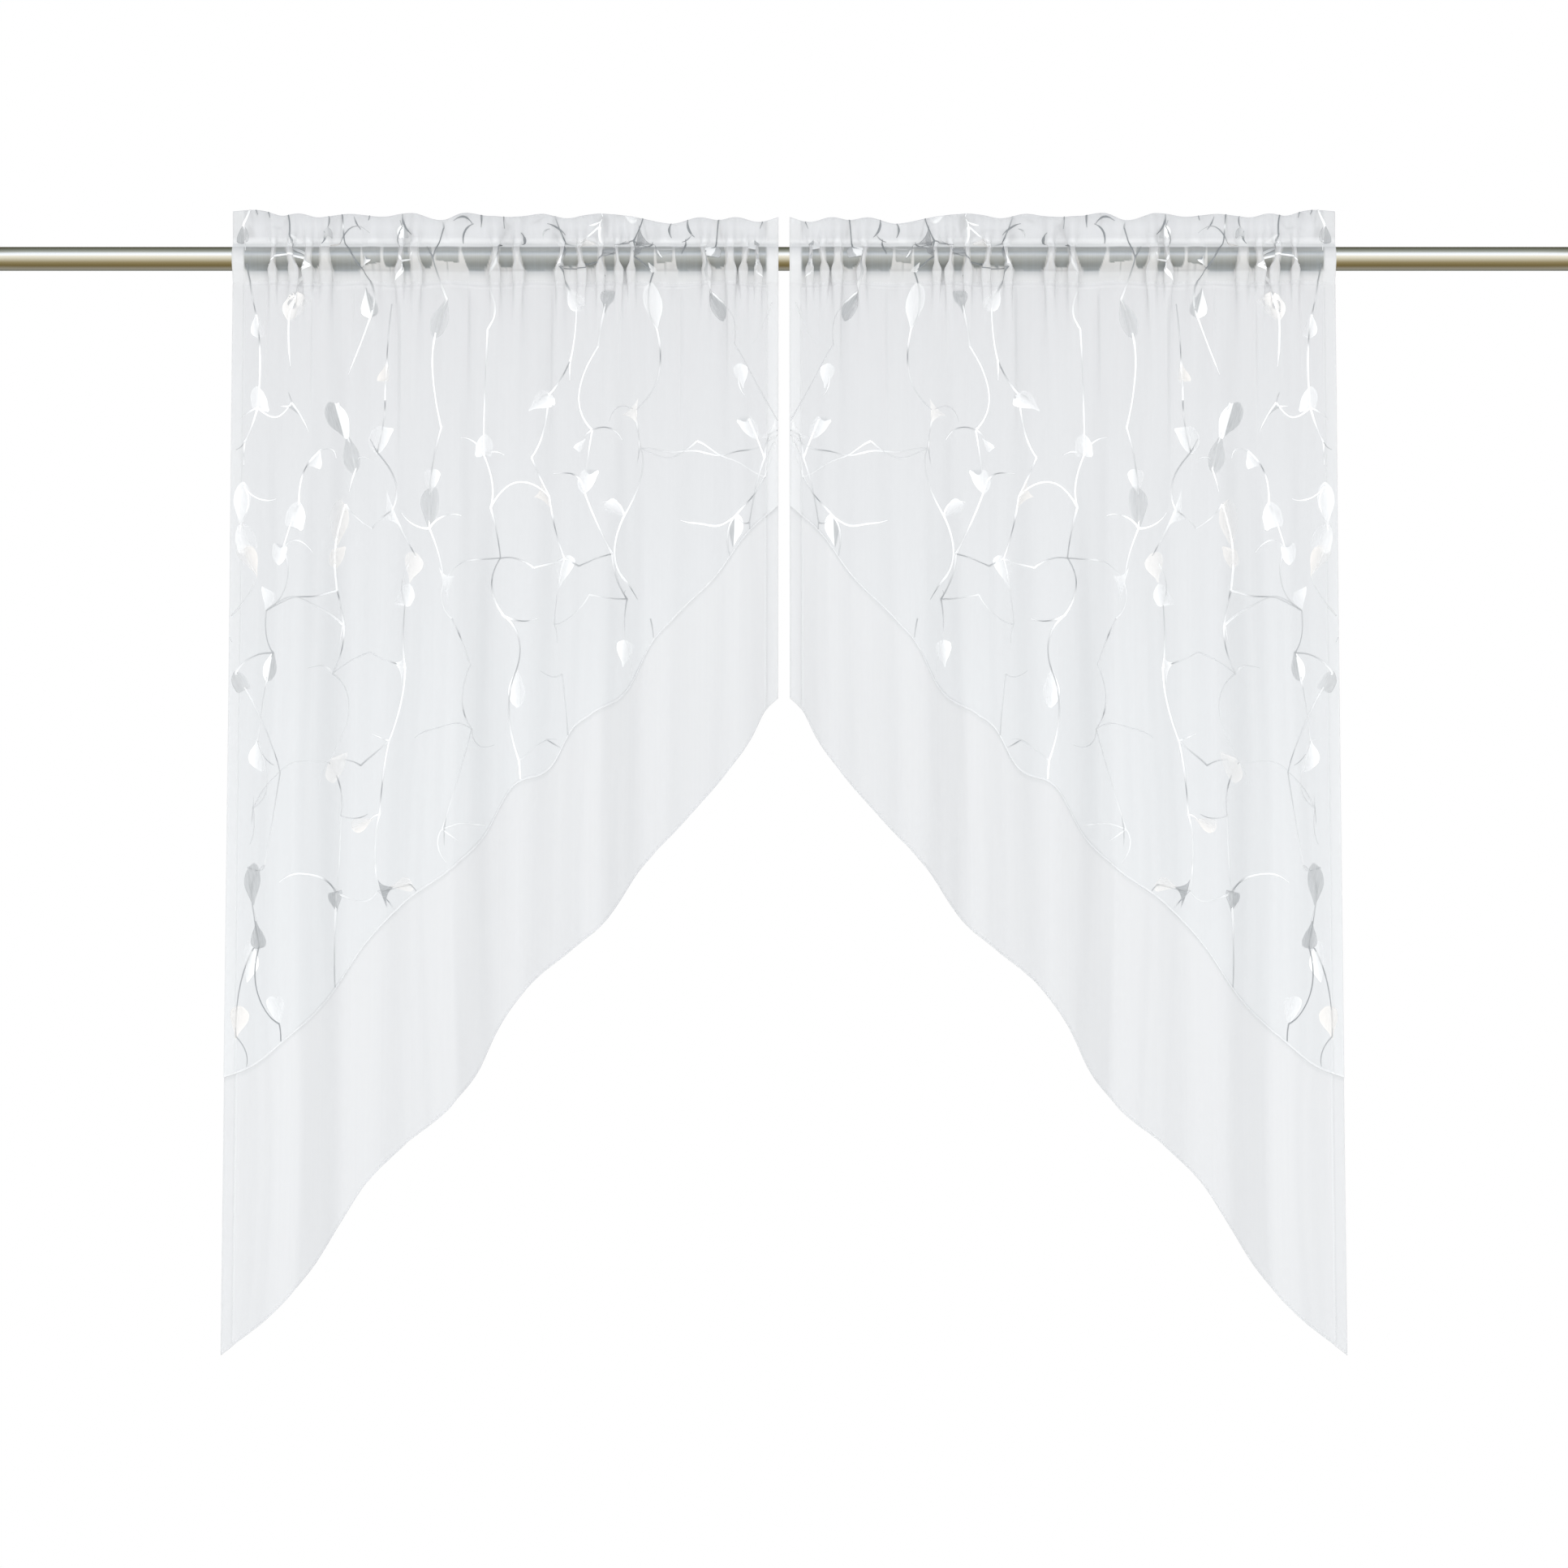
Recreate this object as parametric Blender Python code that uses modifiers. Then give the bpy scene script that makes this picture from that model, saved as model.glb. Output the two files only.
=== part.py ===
"""Pair of cafe curtains on a rod.

Each curtain is a patterned voile panel, gathered on the rod by a pocket under a ruffled
heading, with a plain border sewn along its slanting lower edge. The right curtain mirrors
the left one. The frame is +Z up, -Y towards the room and +X to the right as the room sees
it, in metres, with the origin in the middle of the rod's axis.
"""

import math
from typing import NamedTuple

import bmesh
import bpy
import numpy as np

COLLECTION_NAME = "cafe_curtain_pair"

ROD_DIAMETER = 0.025
ROD_LENGTH = 1.72
ROD_SIDES = 48
ROD_EDGE_BEVEL = 0.0008

CLOTH = 0.001
PIECE_GAP = 0.00036
STITCHED_LAYER_GAP = 0.0004
RUFFLE_LAYER_GAP = 0.0013
HEADING_FOLD_HEIGHT = 0.0016

INNER_EDGE = 0.006
OUTER_EDGE = 0.5775
OUTER_FLARE = 0.0145
TIP_DROP = 1.150
STITCH_HEIGHT = 0.0162
POCKET_DROP = 0.0245
POCKET_DROP_WAVE = 0.0012
POCKET_WAVE_LENGTH = 0.094
SEAM_LAP = 0.005

REST_PLANE = 0.002
RUFFLE_SPREAD = 1.25
BACK_GATHER_DEPTH = 0.0062
BACK_GATHER_SHARE = 0.55
GATHER_CORE = 0.55
GATHER_FLANK = 0.45
GATHER_SOFTENING = 0.0013
FOLD_START_SHARE = 0.12
FOLD_FULL_DROP = 0.46
SLOPE_STEP = 0.005
WIDEST_COLUMN = 0.014
NARROWEST_COLUMN = 0.0043

PANEL_BODY_ROWS = 6
PANEL_ROW_CROWDING = 1.5
BORDER_ROWS = 4
SHARP_ANGLE = math.radians(60.0)


class Gather(NamedTuple):
    """One gather of the heading, from the middle of the pair outwards."""

    centre: float
    half_width: float
    depth: float


GATHERS = [
    Gather(0.026, 0.0075, 0.0060),
    Gather(0.040, 0.0075, 0.0068),
    Gather(0.056, 0.0100, 0.0078),
    Gather(0.083, 0.0090, 0.0066),
    Gather(0.125, 0.0170, 0.0088),
    Gather(0.158, 0.0080, 0.0062),
    Gather(0.174, 0.0080, 0.0070),
    Gather(0.192, 0.0085, 0.0066),
    Gather(0.213, 0.0090, 0.0058),
    Gather(0.234, 0.0090, 0.0068),
    Gather(0.279, 0.0095, 0.0072),
    Gather(0.302, 0.0110, 0.0078),
    Gather(0.352, 0.0210, 0.0090),
    Gather(0.385, 0.0090, 0.0070),
    Gather(0.402, 0.0080, 0.0062),
    Gather(0.422, 0.0105, 0.0078),
    Gather(0.443, 0.0100, 0.0070),
    Gather(0.481, 0.0120, 0.0080),
    Gather(0.499, 0.0085, 0.0066),
    Gather(0.516, 0.0085, 0.0070),
    Gather(0.536, 0.0080, 0.0056),
]


class Fold(NamedTuple):
    """One broad fold of the hanging cloth: crest towards the room, then the valley inside it."""

    crest: float
    valley: float
    depth: float


FOLDS = [
    Fold(0.048, 0.004, 0.018),
    Fold(0.197, 0.139, 0.033),
    Fold(0.343, 0.284, 0.037),
    Fold(0.508, 0.446, 0.035),
    Fold(0.640, 0.590, 0.024),
]


class Knot(NamedTuple):
    """A point of an outline: distance out from the middle, and height over the rod's axis."""

    out: float
    height: float


HEADING_TOP = [
    Knot(0.006, 0.0442),
    Knot(0.026, 0.0385),
    Knot(0.050, 0.0434),
    Knot(0.067, 0.0408),
    Knot(0.090, 0.0434),
    Knot(0.118, 0.0368),
    Knot(0.148, 0.0425),
    Knot(0.200, 0.0468),
    Knot(0.230, 0.0425),
    Knot(0.252, 0.0474),
    Knot(0.280, 0.0442),
    Knot(0.310, 0.0451),
    Knot(0.338, 0.0476),
    Knot(0.354, 0.0408),
    Knot(0.390, 0.0478),
    Knot(0.424, 0.0442),
    Knot(0.455, 0.0476),
    Knot(0.490, 0.0434),
    Knot(0.507, 0.0472),
    Knot(0.526, 0.0451),
    Knot(0.548, 0.0510),
    Knot(0.578, 0.0502),
]

SEAM = [
    Knot(0.006, -0.258),
    Knot(0.040, -0.290),
    Knot(0.069, -0.330),
    Knot(0.115, -0.376),
    Knot(0.142, -0.408),
    Knot(0.160, -0.446),
    Knot(0.202, -0.478),
    Knot(0.222, -0.494),
    Knot(0.240, -0.527),
    Knot(0.290, -0.560),
    Knot(0.314, -0.605),
    Knot(0.343, -0.635),
    Knot(0.400, -0.677),
    Knot(0.443, -0.723),
    Knot(0.479, -0.777),
    Knot(0.527, -0.823),
    Knot(0.555, -0.845),
    Knot(0.592, -0.860),
]

HEM = [
    Knot(0.006, -0.460),
    Knot(0.019, -0.474),
    Knot(0.032, -0.500),
    Knot(0.060, -0.538),
    Knot(0.100, -0.584),
    Knot(0.150, -0.640),
    Knot(0.182, -0.689),
    Knot(0.223, -0.724),
    Knot(0.277, -0.773),
    Knot(0.300, -0.809),
    Knot(0.318, -0.849),
    Knot(0.345, -0.884),
    Knot(0.400, -0.930),
    Knot(0.441, -0.972),
    Knot(0.495, -1.060),
    Knot(0.522, -1.091),
    Knot(0.592, -1.150),
]


class Station(NamedTuple):
    """A point of the heading's section: side 1 is behind the rod and -1 is in front of it, and
    angle is measured up round the rod from the level of its axis.
    """

    name: str
    side: int
    angle: float


# The section starts at the edge turned in behind the rod, climbs behind the rod, folds over at
# the top of the heading and comes down in front of the rod to the pocket's lower stitching.
SECTION = [
    Station("pocket", 1, 0.0),
    Station("rod", 1, -44.0),
    Station("rod", 1, -9.0),
    Station("rod", 1, 26.0),
    Station("rod", 1, 61.0),
    Station("stitch", 1, 0.0),
    Station("ruffle", 1, 0.0),
    Station("fold", 1, 0.0),
    Station("fold", 0, 0.0),
    Station("fold", -1, 0.0),
    Station("ruffle", -1, 0.0),
    Station("stitch", -1, 0.0),
    Station("rod", -1, 63.0),
    Station("rod", -1, 34.0),
    Station("rod", -1, 2.0),
    Station("rod", -1, -31.0),
    Station("pocket", -1, 0.0),
]
LARGEST_STATION_STEP = math.radians(35.0)


def flare_share(height):
    """How much of the outer edge's lean is reached at this height, as a share of the width."""
    return OUTER_FLARE * max(-height, 0.0) / TIP_DROP / (OUTER_EDGE - INNER_EDGE)


def flared(out, height):
    """The outer edge leans out on its way down, and each column takes its share of that."""
    return out + (out - INNER_EDGE) * flare_share(height)


def smooth_line(knots):
    """A smooth curve through an outline's knots, as a function of the distance out at the rod."""
    height = np.array([knot.height for knot in knots])
    leans = np.array([flare_share(knot.height) for knot in knots])
    out = np.array([knot.out for knot in knots])
    out = (out + INNER_EDGE * leans) / (1.0 + leans)
    slopes = np.gradient(height, out)

    def height_at(distance):
        index = int(np.clip(np.searchsorted(out, distance) - 1, 0, len(out) - 2))
        span = out[index + 1] - out[index]
        share = min(max((distance - out[index]) / span, 0.0), 1.0)
        rest = 1.0 - share
        ends = height[index] * rest * rest * (1.0 + 2.0 * share)
        ends += height[index + 1] * share * share * (3.0 - 2.0 * share)
        lean = slopes[index] * rest - slopes[index + 1] * share
        return ends + span * share * rest * lean

    return height_at


heading_top = smooth_line(HEADING_TOP)
seam_height = smooth_line(SEAM)
hem_height = smooth_line(HEM)


def ease(share):
    """Zero to one with a level start and end."""
    share = min(max(share, 0.0), 1.0)
    return share * share * (3.0 - 2.0 * share)


def gather_depth(out, drop):
    """How far the gathers stand towards the room; they widen and soften down the cloth."""
    depth = 0.0
    for gather in GATHERS:
        core = GATHER_CORE * gather.half_width
        reach = math.sqrt(core * core + GATHER_SOFTENING * drop)
        share = (out - gather.centre) / reach
        depth += gather.depth * core / reach * math.exp(-share * share)
    return depth


def fold_depth(out, drop):
    """The broad folds of the hanging cloth, about their mean."""
    turns = []
    for fold in FOLDS:
        turns.append((fold.valley, -0.5 * fold.depth))
        turns.append((fold.crest, 0.5 * fold.depth))
    depth = turns[0][1]
    for (start, start_depth), (end, end_depth) in zip(turns, turns[1:]):
        if start <= out:
            depth = start_depth + (end_depth - start_depth) * ease((out - start) / (end - start))
    grown = FOLD_START_SHARE + (1.0 - FOLD_START_SHARE) * ease(drop / FOLD_FULL_DROP)
    return depth * grown


def pocket_drop(out):
    """How far the pocket's lower stitching lies under the rod's axis; it isn't quite level."""
    return POCKET_DROP + POCKET_DROP_WAVE * math.sin(math.tau * out / POCKET_WAVE_LENGTH)


def cloth_y(out, height):
    """The middle of the cloth below the stitching of the heading."""
    drop = max(-height - pocket_drop(out), 0.0)
    return REST_PLANE - gather_depth(out, drop) - fold_depth(out, drop)


def slant(out, height):
    """How much longer a step along Y is than the same step square to the steeper side here."""
    here = cloth_y(out, height)
    inward = cloth_y(out - SLOPE_STEP, height) - here
    outward = cloth_y(out + SLOPE_STEP, height) - here
    slope = max(abs(inward), abs(outward)) / SLOPE_STEP
    return math.sqrt(1.0 + slope * slope)


def heading_point(out, station):
    """Y and Z of the cloth's middle at one station of the heading's section.

    In front, the whole section moves out with the gathers; behind the rod the cloth bellies out
    where it lies flat in front.
    """
    gathered = gather_depth(out, 0.0)
    stitched_y = cloth_y(out, 0.0)
    stitched_side = 0.5 * (CLOTH + STITCHED_LAYER_GAP) * slant(out, 0.0)
    ruffle_side = 0.5 * (CLOTH + RUFFLE_LAYER_GAP) * slant(out, 0.0)
    if station.name == "pocket":
        return stitched_y + station.side * stitched_side, -pocket_drop(out)
    if station.name == "stitch":
        return stitched_y + station.side * stitched_side, STITCH_HEIGHT
    if station.name == "rod":
        angle = math.radians(station.angle)
        wrap = (0.5 * ROD_DIAMETER + PIECE_GAP + 0.5 * CLOTH) / math.cos(0.5 * LARGEST_STATION_STEP)
        if station.side < 0:
            stand_off = -gathered
        else:
            stand_off = BACK_GATHER_SHARE * max(BACK_GATHER_DEPTH - gathered, 0.0)
        return station.side * wrap * math.cos(angle) + stand_off, wrap * math.sin(angle)
    top = heading_top(out) - 0.5 * CLOTH
    ruffle_y = stitched_y - (RUFFLE_SPREAD - 1.0) * gathered
    if station.name == "ruffle":
        middle_y = 0.5 * (stitched_y + ruffle_y)
        return middle_y + station.side * ruffle_side, 0.5 * (STITCH_HEIGHT + top)
    fall = HEADING_FOLD_HEIGHT * abs(station.side)
    return ruffle_y + station.side * ruffle_side, top - fall


def gather_columns():
    """Distances out of the heading's columns: the foot, flank and crest of each gather."""
    wanted = [INNER_EDGE, OUTER_EDGE]
    for gather in GATHERS:
        for share in (-1.0, -GATHER_FLANK, 0.0, GATHER_FLANK, 1.0):
            wanted.append(gather.centre + share * gather.half_width)
    columns = [INNER_EDGE]
    for out in sorted(wanted):
        gap = out - columns[-1]
        if gap < NARROWEST_COLUMN:
            continue
        splits = math.ceil(gap / WIDEST_COLUMN)
        start = columns[-1]
        for split in range(1, splits + 1):
            columns.append(start + gap * split / splits)
    columns[-1] = OUTER_EDGE
    if len(columns) % 2 == 0:
        columns.insert(-1, 0.5 * (columns[-2] + columns[-1]))
    return columns


def fresh_scene():
    """Empty the scene and give the object's own collection."""
    for old in list(bpy.data.objects):
        bpy.data.objects.remove(old, do_unlink=True)
    collection = bpy.data.collections.new(COLLECTION_NAME)
    bpy.context.scene.collection.children.link(collection)
    return collection


def finish_material(name, colour, roughness, metallic):
    """A Principled material for one finish."""
    material = bpy.data.materials.new(name)
    material.use_nodes = True
    shader = material.node_tree.nodes["Principled BSDF"]
    shader.inputs["Base Color"].default_value = (*colour, 1.0)
    shader.inputs["Roughness"].default_value = roughness
    shader.inputs["Metallic"].default_value = metallic
    return material


def add_piece(name, bm, collection, material):
    """Turn a bmesh into a named, smooth-shaded object of the part."""
    mesh = bpy.data.meshes.new(name)
    bm.to_mesh(mesh)
    bm.free()
    mesh.materials.append(material)
    mesh.shade_smooth()
    mesh.set_sharp_from_angle(angle=SHARP_ANGLE)
    piece = bpy.data.objects.new(name, mesh)
    collection.objects.link(piece)
    return piece


def cloth_sheet(name, columns, rows, place, halved_from, side, collection, material):
    """A sheet of cloth: a grid whose points are set by place(column, row), given its thickness.

    From the row halved_from on, every second column is merged into its neighbour.
    """
    bm = bmesh.new()
    bmesh.ops.create_grid(bm, x_segments=columns - 1, y_segments=rows - 1, size=0.5)
    merged = {}
    grid = {}
    for vert in bm.verts:
        column = round((vert.co.x + 0.5) * (columns - 1))
        row = round((vert.co.y + 0.5) * (rows - 1))
        grid[column, row] = vert
    for (column, row), vert in grid.items():
        if row >= halved_from and column % 2 == 1:
            merged[vert] = grid[column - 1, row]
        out, y, z = place(column, row)
        vert.co = (side * out, y, z)
    if merged:
        bmesh.ops.weld_verts(bm, targetmap=merged)
    bmesh.ops.recalc_face_normals(bm, faces=bm.faces)
    sheet = add_piece(name, bm, collection, material)
    thickness = sheet.modifiers.new("thickness", "SOLIDIFY")
    thickness.thickness = CLOTH
    thickness.offset = 0.0
    thickness.use_even_offset = True
    return sheet


def build_rod(collection, material):
    """The straight rod, with lightly broken edges at its flat ends."""
    bm = bmesh.new()
    radius = 0.5 * ROD_DIAMETER
    bmesh.ops.create_cone(
        bm,
        cap_ends=True,
        segments=ROD_SIDES,
        radius1=radius,
        radius2=radius,
        depth=ROD_LENGTH,
    )
    rod = add_piece("rod", bm, collection, material)
    rod.rotation_euler = (0.0, math.radians(90.0), 0.0)
    edges = rod.modifiers.new("broken_edges", "BEVEL")
    edges.width = ROD_EDGE_BEVEL
    edges.segments = 1
    edges.limit_method = "ANGLE"
    edges.angle_limit = SHARP_ANGLE
    return rod


def build_panel(name, side, columns, collection, material):
    """The patterned panel: ruffled heading, rod pocket and hanging body in one cloth."""
    heading_rows = len(SECTION)

    def place(column, row):
        out = columns[column]
        if row < heading_rows:
            y, z = heading_point(out, SECTION[row])
            return flared(out, z), y, z
        lowest = seam_height(out)
        lap = lowest + SEAM_LAP
        step = row - heading_rows + 1
        start = -pocket_drop(out)
        if step > PANEL_BODY_ROWS:
            z = lowest
        else:
            share = step / PANEL_BODY_ROWS
            z = start + (lap - start) * share ** PANEL_ROW_CROWDING
        return flared(out, z), cloth_y(out, z), z

    rows = heading_rows + PANEL_BODY_ROWS + 1
    return cloth_sheet(name, len(columns), rows, place, heading_rows, side, collection, material)


def build_border(name, side, columns, collection, material):
    """The plain border, lapped behind the panel's slanting lower edge."""
    body_columns = columns[::2]

    def place(column, row):
        out = body_columns[column]
        highest = seam_height(out)
        if row == 0:
            z = highest + SEAM_LAP
        else:
            z = highest + (hem_height(out) - highest) * (row - 1) / (BORDER_ROWS - 1)
        behind = (CLOTH + PIECE_GAP) * slant(out, z)
        return flared(out, z), cloth_y(out, z) + behind, z

    rows = BORDER_ROWS + 1
    count = len(body_columns)
    return cloth_sheet(name, count, rows, place, rows, side, collection, material)


def main():
    """Build the rod and both curtains."""
    collection = fresh_scene()
    metal = finish_material("rod_metal", (0.52, 0.49, 0.43), 0.30, 1.0)
    sheer = finish_material("patterned_voile", (0.80, 0.82, 0.83), 0.75, 0.0)
    plain = finish_material("plain_voile", (0.84, 0.85, 0.86), 0.80, 0.0)
    build_rod(collection, metal)
    columns = gather_columns()
    for name, side in (("left", -1), ("right", 1)):
        build_panel(f"{name}_panel", side, columns, collection, sheer)
        build_border(f"{name}_border", side, columns, collection, plain)


main()
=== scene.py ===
# Looks of the cafe curtain pair: sheer panels with satin twigs, plain borders, thread and the rod.
# Metres, +Z up. X runs along the rod, the room is at -Y and the window at +Y, the rod's axis is at 0.
import math

import bpy
import numpy as np
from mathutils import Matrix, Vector


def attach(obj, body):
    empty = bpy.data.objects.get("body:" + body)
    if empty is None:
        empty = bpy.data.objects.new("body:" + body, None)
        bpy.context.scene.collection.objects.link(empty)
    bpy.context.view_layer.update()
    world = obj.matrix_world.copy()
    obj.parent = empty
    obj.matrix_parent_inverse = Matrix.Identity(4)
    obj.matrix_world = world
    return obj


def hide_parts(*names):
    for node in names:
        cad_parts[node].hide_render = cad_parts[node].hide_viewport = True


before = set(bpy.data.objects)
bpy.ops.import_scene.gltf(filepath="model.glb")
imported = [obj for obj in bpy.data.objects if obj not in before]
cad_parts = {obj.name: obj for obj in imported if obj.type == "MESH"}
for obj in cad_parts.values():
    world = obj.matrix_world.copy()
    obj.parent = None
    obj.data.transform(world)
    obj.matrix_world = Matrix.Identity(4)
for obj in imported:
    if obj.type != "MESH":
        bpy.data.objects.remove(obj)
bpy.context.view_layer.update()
scene = bpy.context.scene
print("frame:", ", ".join(sorted(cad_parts)))

# "out" is the distance from the middle of the rod, the same on both curtains. Heights are over
# the rod's axis.
rod = {"diameter": 0.025, "length": 1.72, "endChamfer": 0.0006, "sides": 128, "rings": 24}

hang = {
    "innerEdge": 0.006,
    "outerEdge": 0.5775,
    "outerFlare": 0.0145,  # the outer edge leans this far out at the corner's tip
    "tipDrop": 1.150,
    "restPlane": 0.002,  # the stitched layers hang this far behind the rod's axis
    "clothOffRod": 0.0009,  # middle of the cloth over the rod's skin
    "foldStartShare": 0.12,  # share of a drape fold's depth that is there at the pocket
    "foldFullDrop": 0.46,
}

heading = {
    "stitchHeight": 0.0162,
    "pocketDrop": 0.0245,
    "pocketSway": (0.0012, 0.094),  # the lower stitching waves by this much, and how long a wave is
    "stitchedGap": 0.0014,  # between the two layers along the stitching
    "ruffleGap": 0.0023,
    "ruffleLean": 0.25,  # the ruffle leans out over each gather by this share of its depth
    "backGather": (0.0062, 0.55),  # deepest bulge behind the rod, and its share
    "rawEdge": 0.0040,  # cloth left under the lower stitching at the back
    "stitchedClosing": 0.50,  # how far the gathers' loops close where the layers are stitched
    "loopFlare": 0.0036,  # their half widths grow by this much at the rod's lower side
    "loopFlaring": (-0.0015, 0.0115),  # the height at which they start to, and over how much of it
    "loopFade": 0.024,
    "gapFade": 0.012,  # how far under the lower stitching the second layer still holds the cloth off
    "heldBack": (4, 6),  # rows that the upper and the lower stitching hold together behind the rod
    "heldFront": (5, 8),
    "ruffleSpread": 0.030,  # the ruffle's gathers spread as they would this far down
    "crease": (0.0010, 0.037, 0.21),  # depth and the two lengths of the ruffle's own waves
}

# Whitenesses here are painted light, a whiter thread colour on loops, the ruffle, folded layers and the
# band round the rod for light their layers scatter; shades are painted shade.
cloth = {
    "steepShare": 0.6,  # how much denser steep cloth looks, as a power of its facing
    "leastFacing": 0.25,
    "loopWhiteness": 0.16,
    "sideHemFullness": 2.6,
    "ruffleWhiteness": 0.53,
    "foldShade": 0.18,  # painted shade: the ruffle's painted light is less by this at its upper edge
    "stitchWhiteness": 1.0,  # from the upper stitching to the rod's top
    "stitchFullness": 1.9,
    "bandWhiteness": 0.59,  # under the rod
    "pressedFullness": 0.95,  # of the threads of cloth pressed on the rod, which shows through
    "looseFullness": 1.15,  # where it stands off the rod
    "looseWhiteness": 0.40,
    "underShade": 0.70,  # painted shade of the cloth right under a patch that reaches the rod's lower side
}

# Upper edge of the ruffle: out, height.
headingTop = [
    (0.006, 0.0442), (0.026, 0.0385), (0.050, 0.0434), (0.067, 0.0408), (0.090, 0.0434), (0.118, 0.0368),
    (0.148, 0.0425), (0.200, 0.0468), (0.230, 0.0425), (0.252, 0.0474), (0.280, 0.0442), (0.310, 0.0451),
    (0.338, 0.0476), (0.354, 0.0408), (0.390, 0.0478), (0.424, 0.0442), (0.455, 0.0476), (0.490, 0.0434),
    (0.507, 0.0472), (0.526, 0.0451), (0.548, 0.0510), (0.578, 0.0502),
]

# Gathers on the rod: out, half width, depth, half width of the loop that stands off it, how far
# that loop closes, slant (sideways per metre up).
gathers = [
    (0.0275, 0.0075, 0.0060, 0.0013, 0.9, 0.10), (0.0410, 0.0075, 0.0068, 0.0020, 0.9, -0.20),
    (0.0560, 0.0100, 0.0078, 0.0038, 0.8, 0.05), (0.0830, 0.0090, 0.0066, 0.0020, 1.0, 0.26),
    (0.1250, 0.0170, 0.0060, 0.0105, 0.1, 0.04), (0.1590, 0.0080, 0.0062, 0.0020, 0.9, -0.14),
    (0.1740, 0.0080, 0.0070, 0.0014, 1.0, 0.18), (0.1920, 0.0085, 0.0066, 0.0019, 0.9, -0.05),
    (0.2130, 0.0090, 0.0058, 0.0015, 1.0, 0.20), (0.2335, 0.0090, 0.0068, 0.0015, 0.9, -0.22),
    (0.2790, 0.0095, 0.0072, 0.0032, 0.9, 0.12), (0.3020, 0.0110, 0.0078, 0.0030, 0.9, -0.08),
    (0.3520, 0.0210, 0.0060, 0.0150, 0.0, 0.05), (0.3860, 0.0090, 0.0070, 0.0046, 0.6, 0.24),
    (0.4015, 0.0080, 0.0062, 0.0016, 1.0, -0.16), (0.4310, 0.0150, 0.0058, 0.0110, 0.2, 0.10),
    (0.4800, 0.0120, 0.0080, 0.0050, 0.6, 0.06), (0.4980, 0.0085, 0.0066, 0.0032, 0.9, -0.12),
    (0.5155, 0.0085, 0.0070, 0.0027, 0.9, 0.28), (0.5350, 0.0080, 0.0056, 0.0016, 1.0, -0.06),
]
gathering = {
    "core": 0.55,  # share of its half width in which a gather stands
    "softening": 0.0013,  # how fast it spreads further down
    "room": 0.60,  # share of the way to the next loop that a loop may take
    "leanReach": 0.55,  # share of its half width that leans with it
    "whiteReach": 0.78,  # share of its half width that gets painted light
    "openWhiteness": 0.45,  # painted light of a loop that stays open, next to a closed one
}

# One gather's loop: place on the cloth as a share of its half width, and where that place goes,
# as a share of the half width and as a share of the loop's own.
loopShape = [
    (0.0, 0.0, 0.0), (0.13, 0.0, 0.60), (0.28, 0.0, 1.0), (0.50, 0.0, 0.72), (0.74, 0.06, 0.26),
    (0.90, 0.48, 0.10), (1.08, 0.98, 0.0), (1.30, 1.30, 0.0),
]

# Patches of painted shade where the cloth lies on the rod between two gathers, inner side first: how far
# under the rod's axis a patch reaches (mm), how square its lower end is, how much it narrows down there.
contacts = [
    (12.9, 16.0, 0.00), (12.6, 10.0, 0.15), (12.9, 16.0, 0.00), (10.4, 3.4, 0.05), (12.9, 20.0, 0.16),
    (12.9, 16.0, 0.08), (12.9, 16.0, -0.12), (13.5, 9.0, 0.55), (10.2, 3.4, 0.08), (9.8, 3.2, 0.00),
    (12.9, 18.0, 0.16), (10.8, 3.4, 0.05), (12.9, 20.0, 0.42), (10.4, 3.4, 0.05), (13.2, 9.0, 0.45),
    (10.4, 3.4, 0.05), (12.9, 20.0, 0.14), (10.0, 3.4, 0.05), (11.2, 4.0, 0.15), (13.0, 10.0, 0.35),
    (12.9, 20.0, 0.10),
]
contact = {
    "edge": 0.0007,  # how soft a patch's outline is
    "curve": 1.6,  # how late a patch narrows down
    "roundUnder": 12,  # patches less square than this are narrower at the top too, by "barrel"
    "barrel": 0.22,
    "core": (0.60, 0.12),  # share of a gather's half width that never touches, and its fade
    "wideShare": 0.88,  # of its loop's half width that a widest gather touches with
    "wideNarrowing": 0.10,
    "wideSquare": 14,
}

# The widest gathers stand off the rod but get painted shade on its upper part too: their place among
# the gathers, how far under the axis it reaches (mm), how much deeper that is on the outer side, and how
# clearly.
wideContacts = [(4, 5.6, 1.6, 0.80), (12, 4.2, -1.3, 0.92), (15, 6.4, 1.8, 0.86)]

# Painted shade of the cloth on the rod: how dark it looks, by height over the rod's axis.
contactShade = [
    (-0.0125, 0.96), (-0.0094, 0.96), (-0.0070, 1.04), (-0.0010, 1.0), (0.0009, 0.95), (0.0034, 0.74),
    (0.0060, 0.90), (0.0085, 0.40), (0.0110, 0.40), (0.0125, 0.25),
]

# Drape folds: crest, valley, depth.
drapeFolds = [
    (0.048, 0.004, 0.018), (0.197, 0.139, 0.033), (0.343, 0.284, 0.037),
    (0.508, 0.446, 0.035), (0.640, 0.590, 0.024),
]

# Fine ripples between them: spacing, height, phase, how fast they change on the way down.
ripples = [(0.0470, 0.0013, 0.4, 2.1), (0.0265, 0.0006, 2.2, -3.2), (0.0149, 0.00018, 4.0, 4.6)]
rippling = {
    "drift": (0.006, 2.4),  # how far a ripple wanders sideways, and how fast
    "swell": (0.45, 0.17),  # share of its height that comes and goes, and over what length
    "edge": 0.02,  # ripples fade over this much at the side edges
    "start": 0.03,  # and under the pocket
}

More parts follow.
